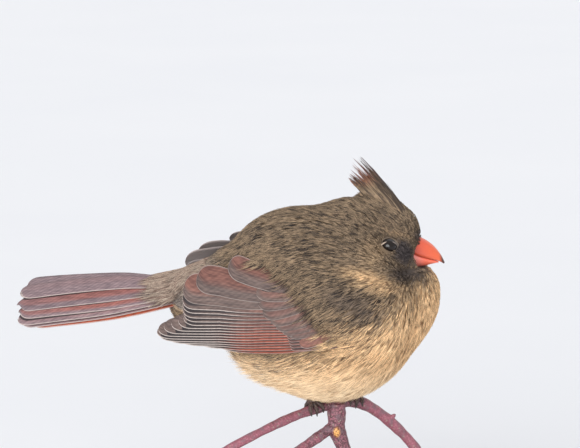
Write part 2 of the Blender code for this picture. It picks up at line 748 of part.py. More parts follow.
def make_toe(hold, splay, start, end):
    """A toe that wraps round the branch, in raised rings of scutes, and its tapering claw."""
    middle, branch, along, forward, up = hold
    path, radii = [], []
    for t in np.linspace(0, 1, 12):
        turn = math.radians(mixed(start, end, t))
        claw = max(t - 0.72, 0) / 0.28
        ring = 1.0 if claw else (SCUTE_RISE if len(path) % 4 < 2 else 0.94)
        radius = TOE_RADIUS * (1 - 0.2 * t) * ring * (1 - 0.9 * claw)
        away = branch + TOE_RADIUS * SCUTE_RISE + GAP + 0.25 * (1 - claw) + 0.9 * claw**2
        aside = splay * math.sin(math.pi / 2 * min(t * 1.5, 1))
        path.append(middle + along * aside + away * (forward * math.sin(turn) + up * math.cos(turn)))
        radii.append(radius)
    return tube("toe", path, radii, "leg_skin", 1)


def make_feet():
    """Three toes forwards and one back on each foot, under a short stretch of ringed leg."""
    for side in FEET:
        hold = foothold(side)
        middle, branch, _, _, up = hold
        sole = middle + up * (branch + GAP + FOOT_THICK)
        pieces = [sphere("foot", sole, (2.3, 2.3, FOOT_THICK - 0.1), "leg_skin", 10, 6)]
        pieces += [make_toe(hold, *toe) for toe in TOES]
        joined(f"foot_{side}", pieces, "MANIFOLD")
        low, high = sole[2] + FOOT_THICK + GAP, middle[2] + POCKET[2] + 3.3
        rungs = np.linspace(low, high, 7)
        rings = LEG_RADIUS * np.where(np.arange(7) % 4 < 2, SCUTE_RISE, 1)
        tube(f"leg_{side}", [(sole[0], sole[1], z) for z in rungs], rings, "leg_skin", 2)


def make_perch(torso):
    """The forked twig, and the furrow and pockets that it and the feet need in the belly."""
    pockets = []
    for side in FEET:
        middle = foothold(side)[0] + np.array([0, 0, 4.0])
        pockets.append(sphere("pocket", middle, POCKET, "buff_plumage", 14, 8))
    cut(torso, *twig_pieces(GAP + 0.1), *pockets)
    return joined("perch", twig_pieces())


def make_stand():
    shape = bmesh.new()
    bmesh.ops.create_cube(shape, size=1.0)
    bmesh.ops.scale(shape, vec=BASE_SIZE, verts=shape.verts)
    bmesh.ops.translate(shape, vec=(0, 0, BASE_SIZE[2] / 2), verts=shape.verts)
    base = made("stand_base", shape, "stand_wood")
    edge = base.modifiers.new("edge", "BEVEL")
    edge.width, edge.segments = 1.5 * MM, 1
    applied(base)
    cone(
        "stand_rod",
        (ROD_X, 0, BASE_SIZE[2] + GAP),
        (ROD_X, 0, ROD_TOP - GAP - 0.1),
        ROD_RADIUS,
        ROD_RADIUS,
        "stand_metal",
        20,
    )


def main():
    for obj in list(bpy.data.objects):
        bpy.data.objects.remove(obj)
    home = bpy.data.collections.new("cardinal")
    bpy.context.scene.collection.children.link(home)
    torso, neck, head = make_flesh()
    for side in (1, -1):
        make_eye(side, head)
    make_bill()
    make_wings(torso)
    make_tail(torso)
    make_crest(neck, head)
    make_feet()
    make_perch(torso)
    make_stand()


if __name__ == "__main__":
    main()
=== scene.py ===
"""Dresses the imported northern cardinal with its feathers, bill, eyes, feet, twig, stand and studio.

The frame is loaded first. Shapes are numpy surfaces in millimetres, in the frame's own axes: +X is
where the bird faces, +Y its left, +Z up. The rear of the bird leans, and lean() does that last.
"""

import math

import bpy
import numpy as np
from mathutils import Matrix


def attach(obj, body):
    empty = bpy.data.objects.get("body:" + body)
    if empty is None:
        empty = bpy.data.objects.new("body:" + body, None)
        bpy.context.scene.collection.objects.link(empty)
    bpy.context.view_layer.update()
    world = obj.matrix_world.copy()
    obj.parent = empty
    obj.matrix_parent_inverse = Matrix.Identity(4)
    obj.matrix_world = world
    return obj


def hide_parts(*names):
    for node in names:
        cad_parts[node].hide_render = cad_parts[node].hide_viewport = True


bl_info = {
    "name": "Northern Cardinal",
    "version": (1, 0, 0),
    "blender": (4, 5, 0),
    "location": "View3D > Sidebar > Cardinal",
    "description": "Feathers, bill, eyes, feet, twig and studio round the packed cardinal",
    "category": "Add Mesh",
}

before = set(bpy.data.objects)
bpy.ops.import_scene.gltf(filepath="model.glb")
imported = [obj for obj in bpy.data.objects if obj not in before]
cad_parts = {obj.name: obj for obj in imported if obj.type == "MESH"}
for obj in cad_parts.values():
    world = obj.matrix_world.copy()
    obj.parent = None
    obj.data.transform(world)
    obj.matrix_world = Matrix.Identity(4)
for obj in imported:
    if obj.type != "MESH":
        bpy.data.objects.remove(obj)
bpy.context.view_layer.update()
MM, TO_MM = 0.001, 1000
SEED = 11
# Steps that spread any count of points evenly over a square
EVEN_STEPS = (0.7548776662, 0.5698402910)
# How much of the unwrap the skin fills, and how broad one feather's patch is on it
UNWRAP_FIT, PATCH = 0.98, 0.0027

# The plumage's rounded masses, each a middle and its three half sizes, as in the part's source
MASSES = {
    "belly": ((-0.5, 0, 119.5), (43.5, 41, 44.5)),
    "breast": ((23, 0, 125), (27.5, 31, 29)),
    "mantle": ((-14, 0, 131), (36, 35, 34)),
    "vent": ((-20, 0, 114), (30, 32, 30)),
    "rump": ((-42, 0, 127), (32, 22, 14)),
    "saddle": ((-36, 0, 136), (21, 20, 11.5)),
    "undertail": ((-46, 0, 118), (27, 17, 13)),
    "nape": ((9, 0, 150), (20, 17.5, 19.5)),
    "cheeks": ((20, 0, 141), (16, 16, 13)),
    "face": ((23, 0, 151), (18, 11.2, 13)),
}
SHOULDER = ((15, 28, 122), (22, 14, 26))
BILL_NOTCH = ((47, 0, 140.6), (12, 8.5, 4.4))
CREST_ROOT, CREST_ROOT_RADIUS = np.array([27.0, 0, 156.0]), 12.6
CREST_TIP, CREST_TIP_RADIUS = np.array([18.8, 0, 171.5]), 6.5
CREST_THIN = (0.85, 0.6)
BLEND = 5.0
LEAN_DEG, LEAN_AXIS_HEIGHT, LEAN_LENGTH = 10.0, 125.0, 55.0
SKIN_MIDDLE = np.array([10.0, 0, 146.0])

# How the coat lies in side view: x, z, heading (180 is backwards, 270 down) and feather length
LIE = np.array(
    [
        (40, 158, 115, 2.6), (33, 156, 150, 3.0), (32, 167, 132, 5.5), (24, 173, 136, 9),
        (15, 171, 145, 8), (9, 162, 166, 6), (20, 156, 165, 4.2), (15, 150, 180, 4.8),
        (35, 148, 170, 1.8), (38, 137, 218, 2.6), (30, 138, 205, 3.8), (22, 143, 190, 4.4),
        (5, 146, 190, 6.5), (0, 158, 181, 7), (-12, 157, 190, 7.5), (-30, 150, 205, 8),
        (-45, 143, 210, 8), (-62, 133, 195, 9), (-8, 136, 192, 9), (-28, 138, 197, 8.5),
        (12, 132, 205, 9), (44, 130, 258, 5.5), (49, 115, 252, 8), (30, 125, 226, 9),
        (38, 112, 236, 10), (30, 92, 220, 11), (15, 112, 214, 12), (5, 98, 207, 12.5),
        (-10, 92, 200, 12.5), (5, 80, 198, 11.5), (-30, 92, 190, 11.5), (-58, 112, 172, 10),
    ]
)
LIE_REACH = 7.0
# Where buff takes over from olive, as x and z in side view
BUFF_EDGE = ((-60, -36, -14, 0, 14, 27, 36, 45, 50), (104, 98, 102, 107, 114, 121, 129, 136, 141))
# Where the face's feathers end at the bill, as z and x in side view
FACE_EDGE = ((137.2, 137.8, 139, 145.5, 151.3, 153.0), (60, 35.0, 34.4, 37.6, 42.2, 60))
EYE_X, EYE_Z, EYE_RADIUS, EYE_DEPTH = 26.4, 149.2, 3.7, 2.8
EYE_LOOK = np.array([0.115, 0.987, -0.11])
# Spots on the coat in side view: middle, half sizes, tilt, softness and weight. The pale ones have
# two weights, and the second is times chance.
PALE_SPOTS = (
    ((20.5, 137.0), (11, 2.9), -20, 0.6, 0.4, 0.6),
    ((31.5, 153.2), (6.0, 1.0), -18, 0.6, 0, 0.45),
    ((21, 146), (5, 6), 0, 0.5, 0, 0.4),
)
DARK_SPOTS = (
    ((34.0, 145.6), (3.7, 4.6), 20, 0.45, 0.95),
    ((36.5, 137.0), (8.0, 2.6), -8, 0.5, 0.75),
    ((40.5, 151.2), (2.2, 1.8), -40, 0.4, 0.7),
    # Painted shade: this spot darkens the crease below the cheek, between cheek and breast, with the
    # mask's colour.
    ((15, 127.5), (13, 4.4), -25, 0.7, 0.5),
)

# The folded wing in side view, as (x, height), as in the part's source
WING_FLARE, WING_DIVE = 0.21, 0.3
WING_BURIED = ((98, 101, 106, 114, 122, 129, 137), (-8, -2, -5.5, -13.5, -18, -25, -31))
WING_TOP = (
    (-67, -63, -59.3, -52.4, -45.6, -38.8, -31, -20, 0),
    (127.3, 130, 132.4, 134.2, 136.5, 136, 134.2, 128, 112),
)
# The wing's hem, where plumage laps over it: x, height, way out, feathers' heading and their length
WING_HEM = (
    (-4, 97, 0, 192, 10), (-2.5, 103, 0, 204, 12), (-3.5, 109, 8, 216, 14),
    (-9.5, 116, 15, 222, 15), (-16, 123, 25, 218, 14), (-24, 130, 38, 211, 11.5),
    (-31.5, 135, 60, 205, 9.5), (-40, 137, 80, 200, 8.5), (-49, 136, 95, 197, 8.5),
    (-58, 133, 110, 195, 8.5), (-66, 128, 120, 193, 8),
)
REMEX_COUNT = 15
REMEX_ROOTS = (115.0, 99.4)
REMEX_TIPS = (
    (-67, 118.7), (-66.8, 114.2), (-66.4, 110.2), (-72, 107.2), (-78, 104.1), (-77.4, 101.2),
    (-68, 99.2), (-51, 97.2),
)
TERTIALS = (
    ((-10, 121.5), (-47.2, 132.4), 8.0),
    ((-8, 119.0), (-61.2, 126.3), 9.5),
    ((-8, 117.0), (-67.0, 121.8), 10.5),
)
COVERT_ROOTS = ((-11, 123.5), (-7, 121.5), (-3, 117.5), (-1, 113), (1, 109.5))
COVERT_TIPS = ((-33.6, 122.6), (-30.8, 114.8), (-26.2, 110), (-22.6, 106.5), (-18.8, 104.5))
WING_PALE = {"remex": 1.0, "tertial": 0.42, "covert": 0.32, "primary": 0.4, "alula": 0.6}
LEAF_KEYS = ("root", "tip", "width", "tilt", "rise", "sag", "round")
TAIL_ROLL_DEG = 32.0
TAIL_LINE = ((-20, 42.0, 74.0, 100), (131.5, 127.0, 123.4, 120.1))
# Tail feathers, right and left in turn: across at root, middle and tip, half width, rise, end, how
# red they are and how much shows
TAIL_FEATHERS = (
    ((-0.5, 5.9, 6.4), 4.9, 0.0, 92.2, 0.12, 12),
    ((1.0, 7.2, 10.7), 5.9, -0.35, 89.5, 0.1, 12),
    ((-1.6, -1.1, -1.2), 5.3, -0.7, 93.2, 0.85, 8.0),
    ((1.6, 7.5, 11.0), 5.7, -0.95, 88.5, 0.3, 12),
    ((-2.6, -6.0, -5.8), 5.3, -1.25, 92.3, 0.95, 5.0),
    ((2.4, 7.7, 11.3), 5.5, -1.5, 88.0, 0.4, 12),
    ((-3.6, -8.9, -9.8), 5.2, -1.8, 93.2, 0.25, 3.1),
    ((3.2, 7.9, 11.5), 5.4, -2.0, 87.5, 0.5, 12),
    ((-4.6, -10.4, -11.2), 5.1, -2.3, 91.0, 0.5, 1.5),
    ((4.0, 8.1, 11.6), 5.3, -2.5, 87.0, 0.6, 12),
    ((-5.6, -11.6, -12.1), 5.0, -2.8, 85.5, 1.25, 12),
    ((4.8, 8.3, 11.7), 5.2, -3.0, 86.5, 0.9, 12),
)
CREST_FRONT_ROOT, CREST_REAR_ROOT = (30.6, 167.8), (15.5, 172.0)
CREST_TIPS = ((14.2, 187.8), (10.6, 187.2), (10.1, 184.2), (9.6, 181.8), (8.9, 180.2), (8.3, 178.4))

# Bill profiles in side view, as (x, z)
CULMEN = (
    (33, 153), (38, 152.3), (41.5, 151), (45.5, 148.6), (48.5, 145.8), (51, 142.3), (52.4, 139.4),
)
CUTTING_EDGE = (
    (33, 140.2), (36.5, 144.2), (41, 142.7), (45.5, 141.5), (49, 140.6), (51, 139.6), (52, 138.9),
)
LOWER_EDGE = (
    (33, 139.9), (36.5, 143.7), (40.5, 142.4), (44, 141.4), (47, 140.6), (49, 140.0), (49.6, 139.7),
)
GONYS = (
    (33, 136.4), (36, 136.8), (39.5, 137.3), (43, 137.9), (46, 138.6), (48.2, 139.2), (49.3, 139.5),
)
BILL_HALF_WIDTH, BILL_START, BILL_RUN = 5.6, 33, 19.6

# Each branch of the fork: points along it and its radius at both ends
BRANCHES = {
    "stem": (
        ((3, 0, 74), (3.2, 0, 67), (3.6, 0, 61), (6.0, 0, 54), (7.6, 0, 47), (8.0, 0, 40.2)),
        (4.4, 2.8),
    ),
    "near_arm": (
        (
            (2, 1, 73.4), (-4, -5, 73.0), (-14, -13, 71.2), (-25, -21, 67.8), (-40, -27.5, 61.3),
            (-56, -31, 53),
        ),
        (2.5, 1.9),
    ),
    "far_arm": (
        (
            (0, -1, 73.2), (8, 6, 73.8), (16, 12, 71.4), (25, 17, 64.8), (33, 20.5, 57.0),
            (39, 22, 50), (45, 23, 41),
        ),
        (3.0, 2.3),
    ),
    "spur": (((3.2, 0, 64), (-3, -3, 60.4), (-12.5, -8, 54.6), (-22, -12, 48.4)), (2.8, 2.1)),
}
FEET = {"right": ("near_arm", 0.29), "left": ("far_arm", 0.2)}
TOES = ((-3.4, 12, 112), (0.2, 12, 126), (3.6, 12, 112), (0.4, -12, -118))
TOE_RADIUS, FOOT_THICK, LEG_RADIUS = 1.0, 1.5, 1.3

# The studio in metres: half the floor's side, and where the camera looks and how steeply down
FLOOR_HALF = 14.0
CAMERA_AIM, CAMERA_CLIMB_DEG = np.array([-0.01824, 0, 0.157]), 8
# Sun lamps: name, the way that they shine, strength, and how wide they look in degrees
LAMPS = (("key", (0.3, 1.0, -0.1), 4.1, 50), ("over", (-0.3, -0.7, -0.8), 1.0, 80))


# Sizes and colours that a user may change


def length(name, text, value):
    return bpy.props.FloatProperty(name=name, description=text, default=value, unit="LENGTH", min=0)


def whole(name, text, value, least):
    return bpy.props.IntProperty(name=name, description=text, default=value, min=least)


def colour(name, text, value):
    kept = {"subtype": "COLOR", "size": 3, "min": 0, "max": 1}
    return bpy.props.FloatVectorProperty(name=name, description=text, default=value, **kept)


class CardinalSizes(bpy.types.PropertyGroup):
    """Sizes of the coat and the studio."""

    feathers: whole("Feathers", "Body feathers", 11000, 100)
    barbs: whole("Barbs", "Barbs in each body feather", 11, 3)
    barb_width: length("Barb width", "Width of a barb of the body's feathers", 0.00035)
    vane_thickness: length("Vane thickness", "Thickness of flight and tail feathers", 0.00025)
    camera_distance: length("Camera distance", "From the camera to the bird", 2.0)
    view_width: length("View width", "Width that the camera sees at the bird", 0.2645)


class CardinalColours(bpy.types.PropertyGroup):
    """Colours of the bird, its twig and its stand."""

    # The dark olive and buff stand for painted shade between strands, and the light ones partly for
    # painted highlights.
    olive_dark: colour("Olive, dark", "Shaded barbs of head and back", (0.048, 0.04, 0.037))
    olive_light: colour("Olive, light", "Bright barbs of head and back", (0.39, 0.28, 0.18))
    buff_dark: colour("Buff, dark", "Shaded barbs of the breast", (0.33, 0.2, 0.112))
    buff_light: colour("Buff, light", "Bright barbs of the breast", (1.0, 0.69, 0.39))
    cream: colour("Cream", "Bright barbs of the belly", (1.0, 0.8, 0.54))
    mask: colour("Mask", "Feathers round the bill", (0.034, 0.029, 0.03))
    rufous: colour("Rufous", "Red of crest, wings and tail", (0.4, 0.083, 0.038))
    slate: colour("Slate", "Grey-brown of wings and tail", (0.145, 0.107, 0.097))
    fringe: colour("Fringe", "Pale edges of flight feathers", (0.703, 0.608, 0.551))
    bill: colour("Bill", "Horn of the bill", (0.718, 0.078, 0.046))
    bark: colour("Bark", "Bark of the twig", (0.272, 0.095, 0.123))


# Arithmetic of shapes


def smooth_step(t):
    """Goes from 0 to 1 with level ends: 3t^2 - 2t^3."""
    t = np.clip(t, 0, 1)
    return t * t * (3 - 2 * t)


def mixed(a, b, t):
    return a + (b - a) * t


def unit(v):
    return v / np.maximum(np.linalg.norm(v, axis=-1, keepdims=True), 1e-9)


def vec(*parts):
    """Puts numbers or arrays side by side along a new last axis, as a vector at each place."""
    return np.stack(np.broadcast_arrays(*parts), -1)


def along_points(points, t):
    """A smooth curve through evenly spaced points at t from 0 to 1: Catmull-Rom cubics."""
    points = np.asarray(points, float)
    last = len(points) - 1
    place = np.clip(np.asarray(t, float) * last, 0, last - 1e-9)
    i = place.astype(int)
    f = (place - i)[..., None]
    before, here = points[np.maximum(i - 1, 0)], points[i]
    ahead, beyond = points[i + 1], points[np.minimum(i + 2, last)]
    return 0.5 * (
        2 * here
        + (ahead - before) * f
        + (2 * before - 5 * here + 4 * ahead - beyond) * f**2
        + (3 * here - before - 3 * ahead + beyond) * f**3
    )


def ellipsoid(p, middle, half):
    """Near enough the distance to an ellipsoid: k0 (k0 - 1) / k1, with k0 and k1 scaled lengths."""
    half = np.array(half, float)
    q = (p - np.array(middle, float)) / half
    k0 = np.linalg.norm(q, axis=-1)
    return k0 * (k0 - 1) / np.maximum(np.linalg.norm(q / half, axis=-1), 1e-9)


def smooth_union(a, b, k):
    """The lesser of a and b, rounded over a width of k."""
    h = np.clip(0.5 + 0.5 * (b - a) / k, 0, 1)
    return b * (1 - h) + a * h - k * h * (1 - h)


def crest_core(p):
    """Distance to a cone along the crest whose section is narrower from side to side."""
    axis = CREST_TIP - CREST_ROOT
    t = np.clip((p - CREST_ROOT) @ axis / (axis @ axis), 0, 1)
    thin = mixed(CREST_THIN[0], CREST_THIN[1], t)
    away = p - CREST_ROOT - t[..., None] * axis
    away = away / vec(1, thin, 1)
    return np.linalg.norm(away, axis=-1) - mixed(CREST_ROOT_RADIUS, CREST_TIP_RADIUS, t)


def plumage(p):
    """Distance to the coat's outer surface, negative inside, before the rear leans."""
    found = crest_core(p)
    for middle, half in MASSES.values():
        found = smooth_union(found, ellipsoid(p, middle, half), BLEND)
    sided = p * np.array([1, 0, 1]) + np.abs(p) * np.array([0, 1, 0])
    found = smooth_union(found, ellipsoid(sided, *SHOULDER), BLEND)
    return -smooth_union(-found, ellipsoid(p, *BILL_NOTCH), 1.5)


def slope(p):
    """The coat's outward direction at p, from differences over half a millimetre."""
    step = 0.25 * np.eye(3)
    return unit(np.stack([plumage(p + e) - plumage(p - e) for e in step], -1))


def coat_lie(p):
    """The coat's direction along the surface and its feather length, as blends of the named places.

    Each place counts by exp(-d^2 / 2 r^2), where d is its distance in side view.
    """
    flat = p[..., [0, 2]]
    away = ((flat[..., None, :] - LIE[:, :2]) ** 2).sum(-1)
    weight = np.exp(-(away - away.min(-1, keepdims=True)) / (2 * LIE_REACH**2))
    weight /= weight.sum(-1, keepdims=True)
    heading = np.radians(LIE[:, 2])
    ahead = weight @ vec(np.cos(heading), 0, np.sin(heading))
    return unit(ahead), weight @ LIE[:, 3]


def eye_distance(p):
    """Distance in side view from the middle of the eye, longer up and down than along."""
    return np.hypot(p[..., 0] - EYE_X, (p[..., 2] - EYE_Z) * 1.12)


def past_face(p):
    """How far a point lies in front of the line where the face's feathers end, in mm."""
    return p[..., 0] - np.interp(p[..., 2], *FACE_EDGE)


def coat_depth(p):
    """How far the skin lies under the coat: by a feather's length, and deeper round the bill."""
    return 0.23 * coat_lie(p)[1] + 0.15 + 2.6 * smooth_step((past_face(p) + 0.4) / 2.4)


def reach(middle, rays, field, far=170.0):
    """How far field's surface lies from middle along each ray, by halving."""
    near, beyond = np.zeros(len(rays)), np.full(len(rays), far)
    for _ in range(20):
        half = (near + beyond) / 2
        inside = field(middle + rays * half[:, None]) < 0
        near, beyond = np.where(inside, half, near), np.where(inside, beyond, half)
    return near


def skin_field(p):
    return plumage(p) + coat_depth(p)


def ray(across, up):
    """Directions over the whole ball, evenly: across turns about Z and up goes with height."""
    turn, height = 2 * np.pi * across, 2 * up - 1
    flat = np.sqrt(np.maximum(1 - height**2, 0))
    return vec(flat * np.cos(turn), flat * np.sin(turn), height)


def unwrapped(p):
    """The inverse of ray: where a point of the skin lies on its unwrap, as (across, up)."""
    d = unit(p - SKIN_MIDDLE)
    return vec(np.arctan2(d[..., 1], d[..., 0]) / (2 * np.pi) % 1, (d[..., 2] + 1) / 2)


def lean(p, way=1):
    """Rolls the rear of the bird about a level line, more further back. A way of -1 undoes it."""
    angle = way * math.radians(LEAN_DEG) * smooth_step(-p[..., 0] / LEAN_LENGTH)
    y, z = p[..., 1], p[..., 2] - LEAN_AXIS_HEIGHT
    side, up = y * np.cos(angle) - z * np.sin(angle), y * np.sin(angle) + z * np.cos(angle)
    return vec(p[..., 0], side, up) + np.array([0, 0, LEAN_AXIS_HEIGHT])


def seen_height(x):
    """What turns a height as seen in side view into Z on the wing's sheet."""
    return np.interp(x, (-77, -50, -30, 0), (5.2, 9.0, 8.8, 5.9))


def wing_out(x, height):
    """How far from the middle plane the wing's sheet lies: a rounded roof over the body's side."""
    back = np.clip(-x, 0, None)
    z = height + seen_height(x)
    middle = 122 + 3 * smooth_step(back / 50)
    bend = mixed(40.0, 22.0, smooth_step(back / 50))
    out = 42.7 - 0.385 * (np.sqrt(back**2 + 144) - 12) - (z - middle) ** 2 / (2 * bend)
    out += WING_FLARE * np.clip(111 - height, 0, None)
    return out - WING_DIVE * np.clip(x - np.interp(height, *WING_BURIED), 0, None)


def wing_place(x, height, rise):
    """A point of the right wing from its place in side view and its rise off the wing's sheet."""
    return vec(x, -(wing_out(x, height) + rise), height + seen_height(x))


def wing_cover(p):
    """How far inside the folded wing's outline a point of the body lies in side view, in mm."""
    x, height = p[..., 0], p[..., 2] - seen_height(p[..., 0])
    top = np.interp(x, *WING_TOP)
    front = np.interp(height, *WING_BURIED)
    return np.minimum(np.minimum(front - x, x + 68), np.minimum(top - height, height - 98))


def tail_place(back, across, rise):
    """A point of the tail: back from its root, across to the bird's left, and up off its sheet."""
    roll = math.radians(TAIL_ROLL_DEG)
    z = np.interp(back, *TAIL_LINE)
    y = across * math.cos(roll) - rise * math.sin(roll)
    return vec(-50 - 0.997 * back, y, z + across * math.sin(roll) + rise * math.cos(roll))


# Meshes and pieces


def put(name, points, faces, finish, slot, nodes=(), uv=None, values=None, smooth=True):
    """Makes a riding piece from points in mm and faces with equal counts of corners, as arrays.

    uv holds one place for each point, or for each corner. values are named vectors at the points.
    """
    mesh = bpy.data.meshes.new(name)
    count, corners = faces.shape
    mesh.vertices.add(len(points))
    mesh.vertices.foreach_set("co", (points * MM).astype(np.float32).ravel())
    mesh.loops.add(faces.size)
    mesh.loops.foreach_set("vertex_index", faces.astype(np.int32).ravel())
    mesh.polygons.add(count)
    mesh.polygons.foreach_set("loop_start", np.arange(0, faces.size, corners, dtype=np.int32))
    mesh.update(calc_edges=True)
    mesh.polygons.foreach_set("use_smooth", np.full(count, smooth))
    if uv is not None:
        at_corners = uv if len(uv) == faces.size else uv[faces.ravel()]
        layer = mesh.uv_layers.new(name="OFBake")
        layer.data.foreach_set("uv", at_corners.astype(np.float32).ravel())
    for key, value in (values or {}).items():
        layer = mesh.attributes.new(key, "FLOAT_VECTOR", "POINT")
        layer.data.foreach_set("vector", value.astype(np.float32).ravel())
    mesh.validate()
    mesh.materials.append(finish)
    piece = bpy.data.objects.new(name, mesh)
    bpy.context.scene.collection.objects.link(piece)
    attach(piece, "root")
    if nodes:
        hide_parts(*nodes)
    return piece


def grid_faces(rows, columns, wrap=False):
    """Quads of a grid of points, row by row, joined round its columns if wrap."""
    i = np.arange(rows - 1)[:, None]
    j = np.arange(columns if wrap else columns - 1)[None]
    a, b = i * columns + j, i * columns + (j + 1) % columns
    return vec(a, b, b + columns, a + columns).reshape(-1, 4)


def shell(top, bottom):
    """Closes leaves between upper and lower sheets, (leaf, row, column, 3): points and quads."""
    count, rows, columns, _ = top.shape
    size = rows * columns
    face = grid_faces(rows, columns)[:, ::-1]
    grid = np.arange(size).reshape(rows, columns)
    edge = np.concatenate([grid[:-1, 0], grid[-1, :-1], grid[:0:-1, -1], grid[0, :0:-1]])
    ahead = np.roll(edge, -1)
    rim = vec(ahead, edge, edge + size, ahead + size)
    faces = np.concatenate([face, face[:, ::-1] + size, rim])
    faces = (np.arange(count)[:, None, None] * 2 * size + faces).reshape(-1, 4)
    points = np.concatenate([sheet.reshape(count, size, 3) for sheet in (top, bottom)], 1)
    points = points.reshape(-1, 3)
    a, b, d = points[faces[0, 0]], points[faces[0, 1]], points[faces[0, 3]]
    if np.cross(b - a, d - a) @ (top[0, 0, 0] - bottom[0, 0, 0]) < 0:
        faces = faces[:, ::-1]
    return points, faces


def twice(value, under=1.0):
    """Gives values, (leaf, row, column, n), to both sheets of leaves, times under on the lower."""
    count = value.shape[0]
    flat = value.reshape(count, -1, value.shape[-1])
    return np.concatenate([flat, flat * under], 1).reshape(-1, value.shape[-1])


def leaf_cells(count, rows, columns):
    """A place on the unwrap for each point of each leaf: one small cell for each leaf."""
    side = math.ceil(math.sqrt(count))
    k = np.arange(count)
    corner = vec(k % side, k // side)[:, None, None]
    v, u = np.meshgrid(*(np.linspace(0.05, 0.95, n) for n in (rows, columns)), indexing="ij")
    return twice((corner + vec(u, v)) / side)


def ball_faces(rows, columns):
    """Triangles of closed rings of points, row by row, and of two poles after the last ring."""
    quads = grid_faces(rows, columns, wrap=True)
    k, n = np.arange(columns), rows * columns
    low = vec(n, (k + 1) % columns, k)
    high = vec(n + 1, n - columns + k, n - columns + (k + 1) % columns)
    return np.concatenate([quads[:, [0, 1, 2]], quads[:, [0, 2, 3]], low, high])


def tube(path, radii, sides, squash=1.0):
    """A closed round bar: circles of the given radii across a path, and a point at each end."""
    path, radii = np.asarray(path, float), np.asarray(radii, float)
    ahead = unit(np.gradient(path, axis=0))
    aside = unit(np.cross(ahead, np.array([0.31, 0.87, 0.38])))
    over = np.cross(aside, ahead)
    turn = (2 * np.pi * np.arange(sides) / sides)[None, :, None]
    ring = aside[:, None] * np.cos(turn) + over[:, None] * np.sin(turn) * squash
    circles = (path[:, None] + ring * radii[:, None, None]).reshape(-1, 3)
    return np.concatenate([circles, path[[0, -1]]]), ball_faces(len(path), sides)


def joined(parts):
    """Joins (points, faces) parts into one."""
    points, faces = zip(*parts)
    starts = np.cumsum([0] + [len(p) for p in points])
    return np.concatenate(points), np.concatenate([f + start for f, start in zip(faces, starts)])


# Finishes


class Wire:
    """A shader socket. Python's operators on it add Math nodes."""

    def __init__(self, finish, socket):
        self.finish, self.socket = finish, socket

    def maths(self, operation, *others):
        inputs = dict(enumerate((self, *others)))
        return self.finish.add("ShaderNodeMath", inputs, operation=operation)

    def flipped(self, operation, other):
        return self.finish.add("ShaderNodeMath", {0: other, 1: self}, operation=operation)

    def __add__(self, other):
        return self.maths("ADD", other)

    def __sub__(self, other):
        return self.maths("SUBTRACT", other)

    def __mul__(self, other):
        return self.maths("MULTIPLY", other)

    def __truediv__(self, other):
        return self.maths("DIVIDE", other)

    def __pow__(self, other):
        return self.maths("POWER", other)

    def __rsub__(self, other):
        return self.flipped("SUBTRACT", other)

    def __rtruediv__(self, other):
        return self.flipped("DIVIDE", other)

    __radd__, __rmul__ = __add__, __mul__

    def clamped(self):
        return self.finish.add("ShaderNodeClamp", {0: self})

    def above(self, low, high):
        """0 below low, 1 above high and a smooth step between them."""
        return self.finish.add(
            "ShaderNodeMapRange",
            {"Value": self, "From Min": low, "From Max": high},
            interpolation_type="SMOOTHSTEP",
        )


class Finish:
    """A material under construction."""

    def __init__(self, name, roughness=0.6, **fixed):
        self.material = bpy.data.materials.new(name)
        self.material.use_nodes = True
        self.tree = self.material.node_tree
        self.shader = self.tree.nodes["Principled BSDF"]
        self.set("Roughness", roughness)
        for key, value in fixed.items():
            self.set(key.replace("_", " ").title().replace("Ior", "IOR"), value)

    def add(self, kind, inputs=None, output=0, **settings):
        """Makes a node: its settings first, then its sockets' values or links."""
        node = self.tree.nodes.new(kind)
        for key, value in settings.items():
            setattr(node, key, value)
        for key, value in (inputs or {}).items():
            named = (s for s in node.inputs if key in (s.identifier, s.name))
            self.feed(node.inputs[key] if isinstance(key, int) else next(named), value)
        return Wire(self, node.outputs[output])

    def feed(self, socket, value):
        if isinstance(value, Wire):
            self.tree.links.new(value.socket, socket)
        elif socket.type == "RGBA" and len(value) == 3:
            socket.default_value = (*value, 1)
        else:
            socket.default_value = value

    def set(self, name, value):
        self.feed(self.shader.inputs[name], value)

    def mix(self, a, b, factor, kind="MIX"):
        inputs = {"Factor_Float": factor, "A_Color": a, "B_Color": b}
        return self.add("ShaderNodeMix", inputs, 2, data_type="RGBA", blend_type=kind)

    def place(self):
        """Object coordinates in millimetres."""
        return self.stretched(self.add("ShaderNodeTexCoord", output=3), TO_MM, TO_MM, TO_MM)

    def stretched(self, where, *scale):
        return self.add("ShaderNodeMapping", {"Vector": where, "Scale": scale})

    def noise(self, where, scale, detail):
        return self.add("ShaderNodeTexNoise", {"Vector": where, "Scale": scale, "Detail": detail})

    def cells(self, where, scale, feature):
        return self.add("ShaderNodeTexVoronoi", {"Vector": where, "Scale": scale}, feature=feature)

    def split(self, vector):
        node = self.add("ShaderNodeSeparateXYZ", {0: vector}).socket.node
        return [Wire(self, out) for out in node.outputs]

    def parts(self, name):
        """The three numbers of a vector attribute."""
        return self.split(self.add("ShaderNodeAttribute", output=1, attribute_name=name))

    def bump(self, height, strength, distance_mm):
        inputs = {"Height": height, "Strength": strength, "Distance": distance_mm * MM}
        self.set("Normal", self.add("ShaderNodeBump", inputs))


